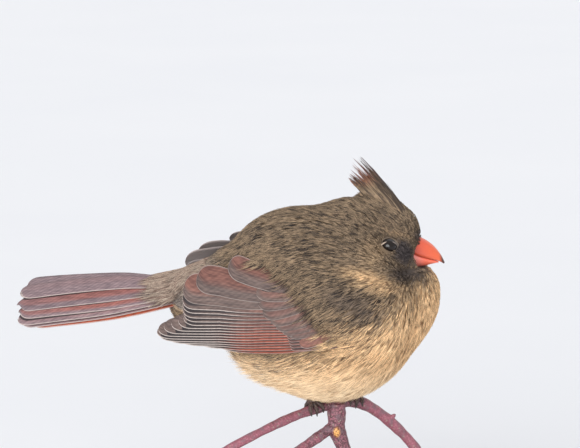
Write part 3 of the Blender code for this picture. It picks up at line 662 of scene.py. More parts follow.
def coat_finish(colours):
    """Barbs light or dark by chance, which is the coat's own streaks with painted highlights and
    painted shade between strands, and darker at their roots as painted shade: olive, buff, mask or
    red by place.
    """
    f = Finish("body_feathers", 0.85, specular_ior_level=0.15)
    buff, mask, red = f.parts("marks")
    light, along, pale = f.parts("barb")
    # Painted light: dark barbs stand for the shade between strands, and bright ones partly for
    # highlights, over the coat's own streaks.
    streak = light.above(0.15, 0.85)
    painted_shade_olive = f.mix(colours.olive_dark, (0.12, 0.1, 0.092), pale)
    olive = f.mix(painted_shade_olive, f.mix(colours.olive_light, (0.47, 0.4, 0.345), pale), streak)
    bright = f.mix(colours.buff_light, colours.cream, pale)
    buffed = f.mix(colours.buff_dark, (0.58, 0.385, 0.225), pale)
    buffed = f.mix(buffed, bright, light.above(0.05, 0.65))
    tint = f.mix(olive, buffed, buff)
    tint = f.mix(tint, colours.rufous, red)
    # Painted highlights on the mask too: streak lightens its barbs up to 3.2 times.
    sooty = f.mix(colours.mask, tuple(3.2 * c for c in colours.mask), streak)
    tint = f.mix(tint, sooty, mask)
    # Painted shade deep in the coat: barbs darken towards their roots, less on the pale buff belly.
    root = f.mix((0.68, 0.66, 0.66), (1, 1, 1), (along.above(-0.15, 0.5) + buff * pale).clamped())
    f.set("Base Color", f.mix(tint, root, 1.0, "MULTIPLY"))
    return f.material


def vane_finish(name, colours, base):
    """Webs with fine slanting barbs: red on their outer side, pale-edged, with painted shadow just
    under the edge of the feather above, and paler undersides as painted light.
    """
    f = Finish(name, 0.62, specular_ior_level=0.3)
    red, pale, dark = f.parts("web")
    along, across, chance = f.parts("barb")
    near, left, shaft = f.parts("edge")
    barbs = (along * 2.3 + across * 3.1).maths("SINE") * 0.5 + 0.5
    where = f.add("ShaderNodeCombineXYZ", {0: along * 0.22, 1: across * 1.7, 2: chance * 90})
    grain = f.noise(where, 1.0, 4.0).above(0.3, 0.7)
    tint = f.mix(base, colours.rufous, red)
    tint = f.mix(tint, (0.4, 0.4, 0.42), (barbs * 0.3).clamped(), "MULTIPLY")
    tint = f.mix(tint, f.mix((0.68, 0.66, 0.68), (1.3, 1.26, 1.22), grain), 1.0, "MULTIPLY")
    tint = f.mix(tint, f.mix((0.85, 0.85, 0.86), (1.15, 1.13, 1.1), chance), 1.0, "MULTIPLY")
    # Painted light: the wings' lower sheets, whose web's third number is negative, turn paler grey to
    # lift their shade.
    tint = f.mix(tint, (0.5, 0.44, 0.43), (dark * -0.75).clamped())
    # Near black: on wings and tail this is painted shadow just under the edge of the feather above;
    # on the crest it is the spikes' own dark middles, and the shaft's dark line is the feather's own.
    slot = (dark.clamped() * left.above(0.75, 0.2)).maths("MAXIMUM", shaft.above(0.28, 0.1) * 0.4)
    tint = f.mix(tint, (0.03, 0.024, 0.026), slot)
    f.set("Base Color", f.mix(tint, colours.fringe, pale * near.above(0.42, 0.16)))
    f.bump(barbs + grain * 0.6, 0.35, 0.12)
    return f.material


def spot(x, z, at, half, tilt, chance, soft):
    """1 inside a tilted ellipse in side view and 0 outside, over an edge made ragged by chance."""
    turn, dx, dz = math.radians(tilt), x - at[0], z - at[1]
    long = (dx * math.cos(turn) + dz * math.sin(turn)) / half[0]
    wide = (dz * math.cos(turn) - dx * math.sin(turn)) / half[1]
    return smooth_step((1 + soft - np.hypot(long, wide) - (chance - 0.5) * 0.4) / (2 * soft))


def skin_marks(p, chance):
    """Weights of buff, mask and red at points of the coat, and of grey or cream, by place. The mask's
    weight also paints shade in the crease below the cheek.
    """
    x, z = p[..., 0], p[..., 2]
    buff = smooth_step((np.interp(x, *BUFF_EDGE) - z) / 20 + 0.5 + (chance - 0.5) * 1.5)
    for *place, soft, sure, maybe in PALE_SPOTS:
        buff = buff + (sure + maybe * chance) * spot(x, z, *place, chance, soft)
    mask = 0 * x
    for *place, soft, weight in DARK_SPOTS:
        mask = np.maximum(mask, weight * spot(x, z, *place, chance, soft))
    red = smooth_step((z - 172) / 9) * smooth_step((27 - x) / 10) * 0.4 * chance
    pale = np.where(z > 120, smooth_step((-40 - x) / 22), smooth_step((106 - z) / 22))
    return np.clip(buff, 0, 1), np.clip(mask, 0, 1), red, pale


# The coat


def make_skin(finish):
    """The skin: rays from one middle out to the coat's surface less its depth, then leaned."""
    rows, columns = 70, 112
    up = np.linspace(0, 1, rows + 2)[1:-1]
    v, u = np.meshgrid(up, np.arange(columns) / columns, indexing="ij")
    rays = np.concatenate([ray(u, v).reshape(-1, 3), [[0, 0, -1.0], [0, 0, 1.0]]])
    p = SKIN_MIDDLE + rays * reach(SKIN_MIDDLE, rays, skin_field)[:, None]
    *marks, pale = skin_marks(p, np.full(len(p), 0.5))
    faces = ball_faces(rows, columns)
    place = np.concatenate([vec(u, v).reshape(-1, 2), [[0.5, 0], [0.5, 1]]])[faces]
    place[..., 0] += np.where(np.ptp(place[..., 0], axis=1)[:, None] > 0.7, place[..., 0] < 0.3, 0)
    place = place.reshape(-1, 2) * UNWRAP_FIT
    # The skin's along of 0.3 gives it part of the painted shade at the barbs' roots.
    values = {"marks": vec(*marks), "barb": vec(0.4, 0.3, pale)}
    put("skin", lean(p), faces, finish, "olive_plumage", ("torso", "neck", "head"), place, values)


COAT_PARTS = {
    "coat_crown": (24, 0, 170),
    "coat_face_right": (30, -14, 146),
    "coat_face_left": (30, 14, 146),
    "coat_nape": (0, 0, 162),
    "coat_neck_right": (12, -26, 140),
    "coat_neck_left": (12, 26, 140),
    "coat_back": (-30, 0, 152),
    "coat_rump": (-62, 0, 130),
    "coat_breast": (48, 0, 116),
    "coat_side_right": (12, -44, 104),
    "coat_side_left": (12, 44, 104),
    "coat_belly": (10, 0, 76),
    "coat_vent": (-36, 0, 92),
}
BUFF_PARTS = ("coat_breast", "coat_belly", "coat_vent")
# Short feathers round the bill, plumes over each wing's hem, and coverts over and under the tail
CHIN_FEATHERS, SIDE_PLUMES, UPPER_COVERTS, LOWER_COVERTS = 380, 760, 300, 190


def bare(p):
    """Where no feather roots: round the eyes, at the bill's base and under the folded wings."""
    eye = (eye_distance(p) < 3.3) & (np.abs(p[..., 1]) > 4)
    winged = (wing_cover(p) > 5.5) & (np.abs(p[..., 1]) > 10) & (p[..., 0] > -50)
    side = np.abs(p[..., 1])
    billed = (past_face(p) > 0) & ((side < 5.8) | ((side < 7.8) & (p[..., 2] > 138.9)))
    return eye | winged | billed


def coat_roots(rng, count):
    """Roots spread over the skin by its area, closer together where feathers are short."""
    k = np.arange(16 * count) + 0.5
    rays = ray(*(k * step % 1 for step in EVEN_STEPS))
    far = reach(SKIN_MIDDLE, rays, skin_field)
    root = SKIN_MIDDLE + rays * far[:, None]
    outward = slope(root)
    ahead, size = coat_lie(root)
    size = size * mixed(1, 0.45, smooth_step((root[:, 2] - 165) / 6))
    want = far**2 / np.maximum((rays * outward).sum(1), 0.08) / size**1.2
    want[bare(root)] = 0
    keep = rng.random(len(root)) < want * (count / want.sum())
    return root[keep], outward[keep], ahead[keep], size[keep]


def fan_out(rng, size, barbs, steps, spread, loose=0.0):
    """Places of each feather's barbs in mm, along and across it, as (feather, barb, step) arrays.

    A barb leaves the shaft within its first fifth, drifts outwards and ends on a rounded line:
    along = start + (end - start) s, across = spread q (0.3 + 0.7 s), with q from -1 to 1.
    """
    shape = (len(size), barbs)
    loose = np.broadcast_to(loose, len(size))[:, None]
    q = (np.arange(barbs) + 0.5) / barbs * 2 - 1 + rng.uniform(-0.15, 0.15, shape)
    start = 0.14 * np.abs(q) + rng.uniform(0, 0.25, shape)
    end = 1 - 0.22 * q**2 + rng.normal(0, 0.08, shape) + 0.2 * loose * rng.random(shape) ** 2
    along = start[..., None] + (end - start)[..., None] * steps
    wide = np.broadcast_to(spread, len(size))[:, None, None] * q[..., None] * (0.3 + 0.7 * steps)
    across = wide + rng.normal(0, 0.04, (*shape, 1)) * steps**2
    return along * size[:, None, None], across * size[:, None, None], q


def laid(root, ahead, aside, along, across):
    """Places along and across from each feather's root, as (feather, barb, step, axis)."""
    deep = (slice(None), None, None)
    return root[deep] + ahead[deep] * along[..., None] + aside[deep] * across[..., None]


def put_barbs(name, path, up, width, finish, root, looks):
    """Thin three-sided bars along paths, (feather, barb, step, 3), that end in points.

    looks holds each barb's buff, mask, red, light and pale, and its place q across the feather.
    Each feather's patch of the unwrap lies where its root does on the skin.
    """
    n, barbs, steps, _ = path.shape
    rings, s = steps - 1, np.linspace(0, 1, steps)
    taper = np.interp(s[:-1], (0, 0.4, 0.75, 1), (0.6, 1.0, 0.8, 0.3))
    flat = unit(np.cross(up, np.diff(path, axis=2)))
    half = (width[..., None] * taper)[..., None] / 2
    ring = path[:, :, :-1]
    corners = np.stack([ring - flat * half, ring + flat * half, ring + up * half * 0.9], -2)
    points = np.concatenate([corners.reshape(n, barbs, rings * 3, 3), path[:, :, -1:]], 2)
    a, b, size = np.arange(3), np.array([1, 2, 0]), rings * 3 + 1
    walls = [vec(a + r, b + r, b + r + 3) for r in range(0, size - 4, 3)]
    walls += [vec(a + r, b + r + 3, a + r + 3) for r in range(0, size - 4, 3)]
    tip = vec(a + size - 4, b + size - 4, size - 1)
    template = np.concatenate([*walls, tip, [[2, 1, 0]]])
    faces = (np.arange(n * barbs)[:, None, None] * size + template).reshape(-1, 3)
    shape = (n, barbs, size)
    buff, mask, red, light, pale, q = (np.broadcast_to(v[..., None], shape) for v in looks)
    along = np.broadcast_to(np.concatenate([np.repeat(s[:-1], 3), [1.0]]), shape)
    values = {
        "marks": vec(buff, mask, red).reshape(-1, 3),
        "barb": vec(light, along, pale).reshape(-1, 3),
    }
    patch = vec(q * 0.5, along - 0.5) * PATCH
    uv = np.clip(unwrapped(root)[:, None, None] * UNWRAP_FIT + patch, 0, 1).reshape(-1, 2)
    slot = "buff_plumage" if name in BUFF_PARTS else "olive_plumage"
    put(name, points.reshape(-1, 3), faces, finish, slot, (), uv, values, smooth=False)


def barb_light(rng, shape, between, within):
    """How bright each barb is, from 0 to 1, which paints highlights and the shade between strands:
    mostly by barb, and a little by feather.
    """
    found = 0.5 + rng.normal(0, between, shape[0])[:, None] + rng.normal(0, within, shape)
    return np.clip(found, 0, 1)


def make_coat(sizes, finish):
    """Body feathers: fans of barbs that leave the skin and bend over along the coat's surface."""
    rng = np.random.default_rng(SEED)
    root, outward, ahead, size = coat_roots(rng, sizes.feathers)
    n, barbs = len(root), sizes.barbs
    ahead = unit(ahead - outward * (ahead * outward).sum(-1, keepdims=True))
    ahead = unit(ahead + np.cross(outward, ahead) * rng.normal(0, 0.08, n)[:, None])
    aside = np.cross(outward, ahead)
    near_eye = np.where(np.abs(root[:, 1]) > 4, eye_distance(root), 99)
    sunk = smooth_step((past_face(root) + 0.4) / 2.4)
    near_bill = mixed(np.clip(-past_face(root) / 4, 0.35, 1), 1.1, sunk)
    size = size * np.clip((near_eye - 2.4) / 4, 0.3, 1) * near_bill * rng.uniform(0.85, 1.15, n)
    loose = smooth_step((110 - root[:, 2]) / 25)
    s = np.array([0, 0.5, 1.0])
    along, across, q = fan_out(rng, size, barbs, s, 0.16 - 0.05 * loose, loose)
    path = laid(root, ahead, aside, along, across)
    depth = coat_depth(root)[:, None, None]
    proud = rng.normal(0.0, 0.022, (n, barbs, 1)) * size[:, None, None]
    hang = smooth_step((-5 - root[:, 0]) / 25) * smooth_step((100 - root[:, 2]) / 15)
    proud = proud + ((0.8 * loose + 6.5 * hang)[:, None] * rng.random((n, barbs)) ** 4)[..., None]
    level = -depth * (1 - s) ** 1.7 * 1.05 + proud * s**2
    level = mixed(level, 0.6 * s - depth, sunk[:, None, None])
    up = outward[:, None, None]
    for _ in range(2):
        path = path + up * np.clip(level - plumage(path), -3, 3)[..., None]
    lapping = laps_wing(root)[:, None, None]
    path = clear_of_wings(path, lapping, rng.uniform(0.2, 0.9, (n, barbs, 1)) * s)
    width = TO_MM * sizes.barb_width * np.clip(size / 8.5, 0.6, 1.1)
    width = width[:, None] * rng.uniform(0.7, 1.25, (n, barbs))
    where = root[:, None] + 0 * q[..., None]
    dither = 0.4 * rng.random((n, 1)) + 0.6 * rng.random((n, barbs))
    *marks, pale = skin_marks(where, dither)
    looks = (*marks, barb_light(rng, (n, barbs), 0.13, 0.42), pale, q)
    path, up = lean(path), np.broadcast_to(up, (n, 1, 1, 3))
    middles = np.array(list(COAT_PARTS.values()), float)
    nearest = ((root[:, None] - middles) ** 2).sum(-1).argmin(1)
    for k, name in enumerate(COAT_PARTS):
        own = nearest == k
        kept = [v[own] for v in looks]
        put_barbs(name, path[own], up[own], width[own], finish, root[own], kept)


def make_chin(sizes, finish):
    """Short feathers on the slope round the bill, which rays from the skin's middle graze.

    Rays sweep down at each angle to the side. Feathers root between the two ends furthest apart.
    """
    rng, count = np.random.default_rng(SEED + 9), CHIN_FEATHERS
    angles = np.linspace(-46, 46, 240), np.linspace(-6, 32, 150)
    turn, fall = np.radians(np.meshgrid(*angles, indexing="ij"))
    rays = vec(np.cos(fall) * np.cos(turn), np.cos(fall) * np.sin(turn), -np.sin(fall))
    far = reach(SKIN_MIDDLE, rays.reshape(-1, 3), skin_field).reshape(turn.shape)
    p = SKIN_MIDDLE + rays * far[..., None]
    step = np.linalg.norm(np.diff(p, axis=1), axis=-1)
    k, at = np.arange(len(p)), step.argmax(1)
    inner, outer, room = p[k, at], p[k, at + 1], np.clip(step[k, at] - 1, 0, None)
    chosen = rng.choice(k, count, p=room / room.sum())
    size, barbs, s = rng.uniform(2.6, 3.8, count), sizes.barbs, np.array([0, 0.5, 1.0])
    down = rng.random(count) * np.clip(0.97 - 1.15 * size / step[chosen, at[chosen]], 0.05, 1)
    root = mixed(inner[chosen], outer[chosen], down[:, None])
    lie = unit(outer - inner)[chosen]
    up = unit(np.cross(lie, np.gradient(inner, axis=0)[chosen]))
    up = up * np.sign(up @ np.array([1.0, 0, 0.6]))[:, None]
    aside = np.cross(up, lie)
    along, across, q = fan_out(rng, size, barbs, s, 0.22)
    path = laid(root, lie, aside, along, across)
    lift = 0.6 * s - 0.3 + rng.uniform(0, 0.3, (count, barbs, 1))
    path = path + up[:, None, None] * lift[..., None]
    none = np.zeros((count, barbs))
    *marks, pale = skin_marks(root[:, None] + none[..., None], rng.random((count, barbs)))
    dark = (0.85 - 0.6 * down) * smooth_step((15 - np.abs(root[:, 1])) / 5)
    marks[1] = np.clip(np.maximum(marks[1], dark[:, None] + 0.2 * rng.random((count, barbs))), 0, 1)
    width = TO_MM * sizes.barb_width * rng.uniform(0.6, 0.9, (count, barbs))
    looks = (*marks, barb_light(rng, (count, barbs), 0.1, 0.3), pale, q)
    put_barbs("chin_feathers", path, up[:, None, None], width, finish, root, looks)


def laps_wing(p):
    """True where a feather's root is in front of or above a folded wing and may lap over it."""
    x, height = p[..., 0], p[..., 2] - seen_height(p[..., 0])
    above = (height > np.interp(x, *WING_TOP) - 1) & (x > -70)
    return above | (x > np.interp(height, *WING_BURIED) - 1)


def clear_of_wings(p, lapping, rise):
    """Moves points in a folded wing's outline to just over it where lapping, or else under it."""
    x, height = p[..., 0], p[..., 2] - seen_height(p[..., 0])
    cover = np.clip(wing_cover(p) / 2.5, 0, 1) * (np.abs(p[..., 1]) > 8)
    out, far = wing_out(x, height), np.abs(p[..., 1])
    lapping = lapping & (wing_cover(p) < 0.8 + 2.2 * rise)
    over, under = np.clip(out + 2.2 + rise - far, 0, 6), np.clip(out - 1.3 - far, None, 0)
    moved = p.copy()
    moved[..., 1] += np.sign(p[..., 1]) * np.where(lapping, over, under) * cover
    return moved


def settled(p, level):
    """Moves points along the coat's slope until they lie at the given level over its surface."""
    for _ in range(6):
        p = p + slope(p) * np.clip(level - plumage(p), -4, 4)[..., None]
    return p


def make_side_plumes(side, sizes, finish):
    """Long loose feathers rooted in front of and above a folded wing, draped over its edges.

    In side view each barb starts some way out from the wing's hem and follows the flow, bent
    backwards. It climbs from the coat to the wing's sheet: mixed by a smooth step of its length.
    """
    rng = np.random.default_rng(SEED + 20 + side)
    count, barbs, s = SIDE_PLUMES, 5, np.linspace(0, 1, 4)
    hem = 0.62 * rng.random(count) ** 0.85
    table = along_points(WING_HEM, hem)
    start, heading, size = table[:, :2], np.radians(table[:, 3]), table[:, 4]
    out = np.radians(table[:, 2])
    beyond = np.interp(rng.random(count), (0, 0.85, 1), (-6, 0.6, 3.5))
    away = -size * np.cos(heading - out) - beyond
    start = start + away[:, None] * vec(np.cos(out), np.sin(out))
    heading = heading + rng.normal(0, 0.1, count)
    size = size * rng.uniform(0.8, 1.25, count)
    along, across, q = fan_out(rng, size, barbs, s, 0.1, 0.6)
    across = across - (0.1 + 0.1 * rng.random((count, 1, 1))) * along**2 / size[:, None, None]
    ahead = vec(np.cos(heading), np.sin(heading))
    aside = vec(-np.sin(heading), np.cos(heading))
    x, height = np.moveaxis(laid(start, ahead, aside, along, across), -1, 0)
    over = wing_place(x, height, 3.5 + rng.uniform(0, 0.8, (count, barbs, 1)) - 0.5 * s)
    over = np.where((plumage(over) < 0.3)[..., None], settled(over, 0.35), over)
    under = settled(wing_place(x, height, 0), -1.6 * (1 - s))
    near = smooth_step((wing_cover(vec(x, 0, height + seen_height(x))) + 6) / 6)
    climb = (smooth_step((s + 0.05) / 0.5) * near)[..., None]
    path, mirror = mixed(under, over, climb), np.array([1, -side, 1])
    path, outward = path * mirror, slope(path[:, :, 1])[:, :, None] * mirror
    width = TO_MM * sizes.barb_width * rng.uniform(0.6, 1.1, (count, barbs))
    where = np.broadcast_to(path[:, :, 1], (count, barbs, 3))
    dither = 0.3 * rng.random((count, 1)) + 0.7 * rng.random((count, barbs))
    *marks, pale = skin_marks(where, dither)
    light = barb_light(rng, (count, barbs), 0.2, 0.4)
    golden = np.clip(1.2 - 3.5 * hem, 0.1, 1)[:, None]
    marks[0] = np.clip(marks[0] + 0.5 * golden * rng.random((count, barbs)) ** 2, 0, 1)
    word = "left" if side > 0 else "right"
    looks = (*marks, light, pale, q)
    put_barbs(f"side_plumes_{word}", lean(path), outward, width, finish, path[:, 0, 0], looks)


def make_tail_plumes(sizes, finish):
    """Soft coverts over and under the tail's root, laid on its sheet and lower towards its tip."""
    rng = np.random.default_rng(SEED + 30)
    for word, count, over in (("upper", UPPER_COVERTS, 1), ("lower", LOWER_COVERTS, -1)):
        name, barbs, s = f"tail_coverts_{word}", 10, np.linspace(0, 1, 4)
        size = rng.uniform(9, 18, count) * (1 if over > 0 else 0.75)
        first = (25 if over > 0 else 17) * rng.random(count) ** 0.8 - 3
        middle = rng.uniform(-1, 1, count) * (7.5 + 0.08 * first)
        along, across, q = fan_out(rng, size, barbs, s, 0.17, 0.2)
        back = first[:, None, None] + along
        wide = middle[:, None, None] * (1 + 0.012 * along) + across
        if over > 0:
            rise = np.interp(back, (5, 12, 30, 36), (6.8, 5.9, 2.0, 1.0)) - 0.03 * wide**2
        else:
            rise = -np.interp(back, (5, 12, 26, 34), (6.8, 6.2, 3.9, 3.0)) + 0.025 * wide**2
        rise = rise + over * (rng.uniform(-0.2, 0.3, (count, barbs, 1)) - 0.9 * (1 - s) ** 2)
        body = lean(tail_place(back, wide, rise), -1)
        covered = (plumage(body) < 0.5)[..., None]
        path = lean(np.where(covered, settled(body, 0.5 - 1.5 * (1 - s) ** 2), body))
        roll = math.radians(TAIL_ROLL_DEG)
        outward = over * np.array([0, -math.sin(roll), math.cos(roll)])
        width = TO_MM * sizes.barb_width * rng.uniform(0.75, 1.2, (count, barbs))
        none = np.zeros((count, barbs))
        light = barb_light(rng, (count, barbs), 0.12, 0.34) * 0.82
        marks = (none + (0.1 if over > 0 else 0.45), none, none + 0.12 * rng.random((count, 1)))
        looks = (*marks, light, none + 0.8, q)
        put_barbs(name, path, outward, width, finish, path[:, 0, 0], looks)


# Wings


def wing_leaves():
    """The right wing's feathers by name of kind, with an array of each of LEAF_KEYS."""
    t, c, p = (np.linspace(0, 1, count) for count in (REMEX_COUNT, 7, 5))
    roots, tips, widths = (np.array(v, float) for v in zip(*TERTIALS))
    remex_roots = vec(-8, mixed(*REMEX_ROOTS, t))
    primary_roots = vec(3, mixed(106, 100.6, p))
    primary_tips = vec(-19.6 + 1.7 * p, mixed(104.4, 98.8, p))
    covert_ends = along_points(COVERT_ROOTS, c), along_points(COVERT_TIPS, c)
    tertial_lifts = (0.1, 0.13, 0.18), (2.2, 1.95, 1.7), (0.6, 0.8, 0.8), (6.0, 7.0, 7.0)
    remex_lifts = 0.3, 1.45, 1.4 * t * t, mixed(5.5, 8.5, t)
    table = {
        "remex": (remex_roots, along_points(REMEX_TIPS, t), mixed(9.0, 6.5, t), *remex_lifts),
        "tertial": (roots, tips, widths + 1.5, *tertial_lifts),
        "covert": (*covert_ends, 8.5 - 1.6 * c, 0.17, 2.5, 1.3, 6.0 - 1.5 * c),
        "primary": (primary_roots, primary_tips, 5, 0.3, 2.2, 0, 2.2),
        "alula": (np.array([[1.0, 105.2]]), np.array([[-12.8, 99.6]]), 6.4, 0.1, 3.0, 0.4, 5.0),
    }
    for name, (root, tip, *rest) in table.items():
        columns = (root, tip, *(np.zeros(len(root)) + v for v in rest))
        table[name] = {key: column[:, None, None] for key, column in zip(LEAF_KEYS, columns)}
    return table


def leaf_outline(kind, rows, columns):
    """Places of a kind's leaves in side view, (leaf, row, column, 2), mm along and from the low
    edge, how far the tip has closed in, and how far off the line from root to tip they lie.

    The low edge runs from root to tip with a sag. Near the tip both edges close in as an ellipse.
    """
    u = np.linspace(0, 1, rows)
    s = (1 - (1 - u) ** 1.6)[None, :, None]
    t = np.linspace(0, 1, columns)[None, None]
    root, tip = kind["root"], kind["tip"]
    span = np.linalg.norm(tip - root, axis=-1)
    left = np.clip(1 - (1 - s) * span / kind["round"], 0, 1)
    close = np.sqrt(np.clip(1 - left**2.4, 0.0012, 1))
    body = (0.45 + 0.55 * smooth_step(s / 0.4)) * kind["width"]
    ahead = (tip - root) / span[..., None]
    aside = vec(ahead[..., 1], -ahead[..., 0])
    aside = aside * np.where(aside[..., 1:] < 0, -1, 1)
    off = 0.42 * body * (1 - close) + t * body * close
    line = root + (tip - root) * s[..., None]
    line[..., 1] -= kind["sag"] * 4 * s * (1 - s)
    return line + aside * off[..., None], s * span + 0 * t, t * body * close, close + 0 * t, off


def make_wing(side, sizes, finish):
    """Every feather of a folded wing as a thin cambered leaf on the wing's roofed sheet."""
    kinds = wing_leaves()
    sheets, cells, values = [], [], {"web": [], "barb": [], "edge": []}
    rng = np.random.default_rng(SEED + 3)
    for name, kind in kinds.items():
        rows, columns = (30, 8) if name in ("remex", "tertial") else (18, 9)
        flat, along, low, close, off = leaf_outline(kind, rows, columns)
        x, height = flat[..., 0], flat[..., 1]
        t = np.linspace(0, 1, columns)[None, None]
        camber = (0.5 if name == "remex" else 0.8) * (1 - (2 * t - 0.8) ** 2) * close
        lift = kind["rise"] - kind["tilt"] * off + camber * smooth_step(along / 6)
        lift = lift - 0.45 * np.clip(x - np.interp(height, *WING_BURIED), 0, None)
        if name in ("covert", "tertial"):
            lift = lift - 0.8 * (1 - smooth_step(along / 10))
        thick = TO_MM * sizes.vane_thickness
        sheets.append(shell(wing_place(x, height, lift), wing_place(x, height, lift - thick)))
        gap = spacing(name, kind, x, height - off)
        from_edge = np.where(close > 0.93, low, np.minimum(low, close * 3.2))
        fringe = WING_PALE[name] + 0 * x
        if name == "remex":
            rank = np.linspace(0, 1, REMEX_COUNT)[:, None, None]
            redness = mixed(0.2, 0.78, smooth_step(rank * 2.2 - 0.25))
            red = smooth_step((x + 50 + 20 * rank) / 24) * redness
            red = red * smooth_step((gap - low) / 0.9 + 0.4)
            # Widens the painted shadow under the next feather's edge towards the wing's tip.
            overlap = mixed(0.45, 1.1, smooth_step((-54 - x) / 12)) * smooth_step((-38 - x) / 12)
            gap = gap - overlap * (gap < 8)
            from_edge = from_edge * mixed(1, 0.5, smooth_step((-40 - x) / 16) * rank)
            fringe = fringe * mixed(0.4, 1.0, smooth_step((-28 - x) / 22))
        elif name == "tertial":
            from_edge = np.minimum(from_edge, (1 - t) * kind["width"] * close + 0.1)
            red = 0.26 * smooth_step((low - 3.2) / 2.5) * smooth_step(along / 14)
        elif name == "covert":
            red = 0.17 * smooth_step((low - 1.0) / 1.6) * smooth_step((close - 0.6) / 0.4)
        else:
            red = 0.25
        shaft = np.abs(low - 0.42 * kind["width"] * close)
        shaft = shaft + 9 * (name in ("remex", "primary"))
        red = red * (0.35 if side > 0 and name == "tertial" else 1)
        chance = rng.random(len(x))[:, None, None]
        # The 0.95 paints shadow under the next feather's edge; on the lower sheet it is -0.95, which
        # paints the underside paler as painted light.
        values["web"].append(twice(vec(np.clip(red, 0, 1), fringe, 0.95), (0.6, 1, -1)))
        values["barb"].append(twice(vec(along, low, chance)))
        values["edge"].append(twice(vec(from_edge, gap - low, shaft)))
        cells.append(leaf_cells(len(x), rows, columns) * 0.2 + np.array([len(cells) * 0.2, 0]))
    p, f = joined(sheets)
    if side > 0:
        p = p * np.array([1, -1, 1])
        lift = 0.35 * np.clip(125 - p[:, 2], 0, None) * smooth_step((-p[:, 0] - 30) / 40)
        p, f = p + lift[:, None] * np.array([0, 0, 1]), f[:, ::-1]
    word = "left" if side > 0 else "right"
    values = {key: np.concatenate(value) for key, value in values.items()}
    name, cells = f"wing_feathers_{word}", np.concatenate(cells)
    put(name, lean(p), f, finish, "wing_feather", (f"wing_{word}",), cells, values)


def spacing(name, kind, x, low_height):
    """How much of a feather shows above its low edge before the next one up covers it, in mm."""
    if name == "remex":
        up = np.maximum(np.arange(len(x)) - 1, 0)
        root, tip, sag = (kind[key][up] for key in ("root", "tip", "sag"))
        s = (x - root[..., 0]) / (tip[..., 0] - root[..., 0])
        above = root[..., 1] + (tip[..., 1] - root[..., 1]) * s
        above = above - sag * 4 * s * (1 - s)
        gap = np.where(s > 0.985, 9.0, above - low_height)
        gap[0] = np.interp(x[0], (-67, -40, -10), (3.2, 2.6, 2.0))
        return np.clip(gap, 0.7, 9)
    if name == "tertial":
        return np.where(x > np.array([200.0, -45.5, -59.5])[:, None, None], 9.0, 30.0)
    return np.full(x.shape, {"covert": 4.6, "primary": 1.35, "alula": 30.0}[name])


# Tail


def make_tail(sizes, finish):
    """Twelve long feathers, each at its own place across the folded tail and its own level."""
    table = np.array([(*centre, *rest) for centre, *rest in TAIL_FEATHERS])
    centre, (half, level, end, redness, gap) = table[:, :3], table[:, 3:].T[:, :, None, None]
    count, rows, columns = len(table), 36, 9
    u = np.linspace(0, 1, rows)
    s = (1 - (1 - u) ** 1.5)[None, :, None]
    t = np.linspace(-1, 1, columns)[None, None]
    span = end - 6
    close = np.sqrt(np.clip(1 - np.clip(1 - (1 - s) * span / 7.0, 0, 1) ** 2.6, 0.001, 1))
    half = mixed(2.6, half, smooth_step(s / 0.55)) * close
    middle = np.stack([along_points(row[:, None], s[0, :, 0])[:, 0] for row in centre])[..., None]
    ragged = np.random.default_rng(SEED + 6).uniform(-1.6, 0.4, (count, 1, columns))
    back = 6 + span * s + ragged * smooth_step((s - 0.93) / 0.07) + 0 * t
    across = middle + half * t
    rise = level + 0.35 * (1 - t**2) * close + 0 * s
    thick = TO_MM * sizes.vane_thickness
    top, bottom = tail_place(back, across, rise), tail_place(back, across, rise - thick)
    low, high = (1 + t) * half, (1 - t) * half
    left = (centre[:, 2] > 5)[:, None, None] & (redness != 0.12)
    inner = smooth_step((low - 0.3 * gap) / (0.2 * gap + 0.4))
    right_red = np.where(redness >= 1, 1, inner)
    red = redness * np.where(left, smooth_step((1.2 - high) / 0.8), right_red)
    red = red * mixed(0.6, 0.35, smooth_step((s - 0.6) / 0.4)) * np.where(redness >= 1, 1.7, 1)
    pale = 0.5 * smooth_step((s - 0.1) / 0.2) + 0 * low
    # Painted shadow under the edge of the feather above, on all but the left feathers.
    dark = 0.9 * ~left + 0 * low
    shaft = np.abs(t + 0.12) * half
    rng = np.random.default_rng(SEED + 5)
    values = {
        "web": twice(np.clip(vec(red, pale, dark), 0, 1.3), (1, 1, 0)),
        "barb": twice(vec(back, across, rng.random(count)[:, None, None])),
        "edge": twice(vec(np.minimum(low, 2.5 * close), gap - low, shaft)),
    }
    cells = leaf_cells(count, rows, columns)
    put("tail_feathers", *shell(top, bottom), finish, "tail_feather", ("tail",), cells, values)


# Crest


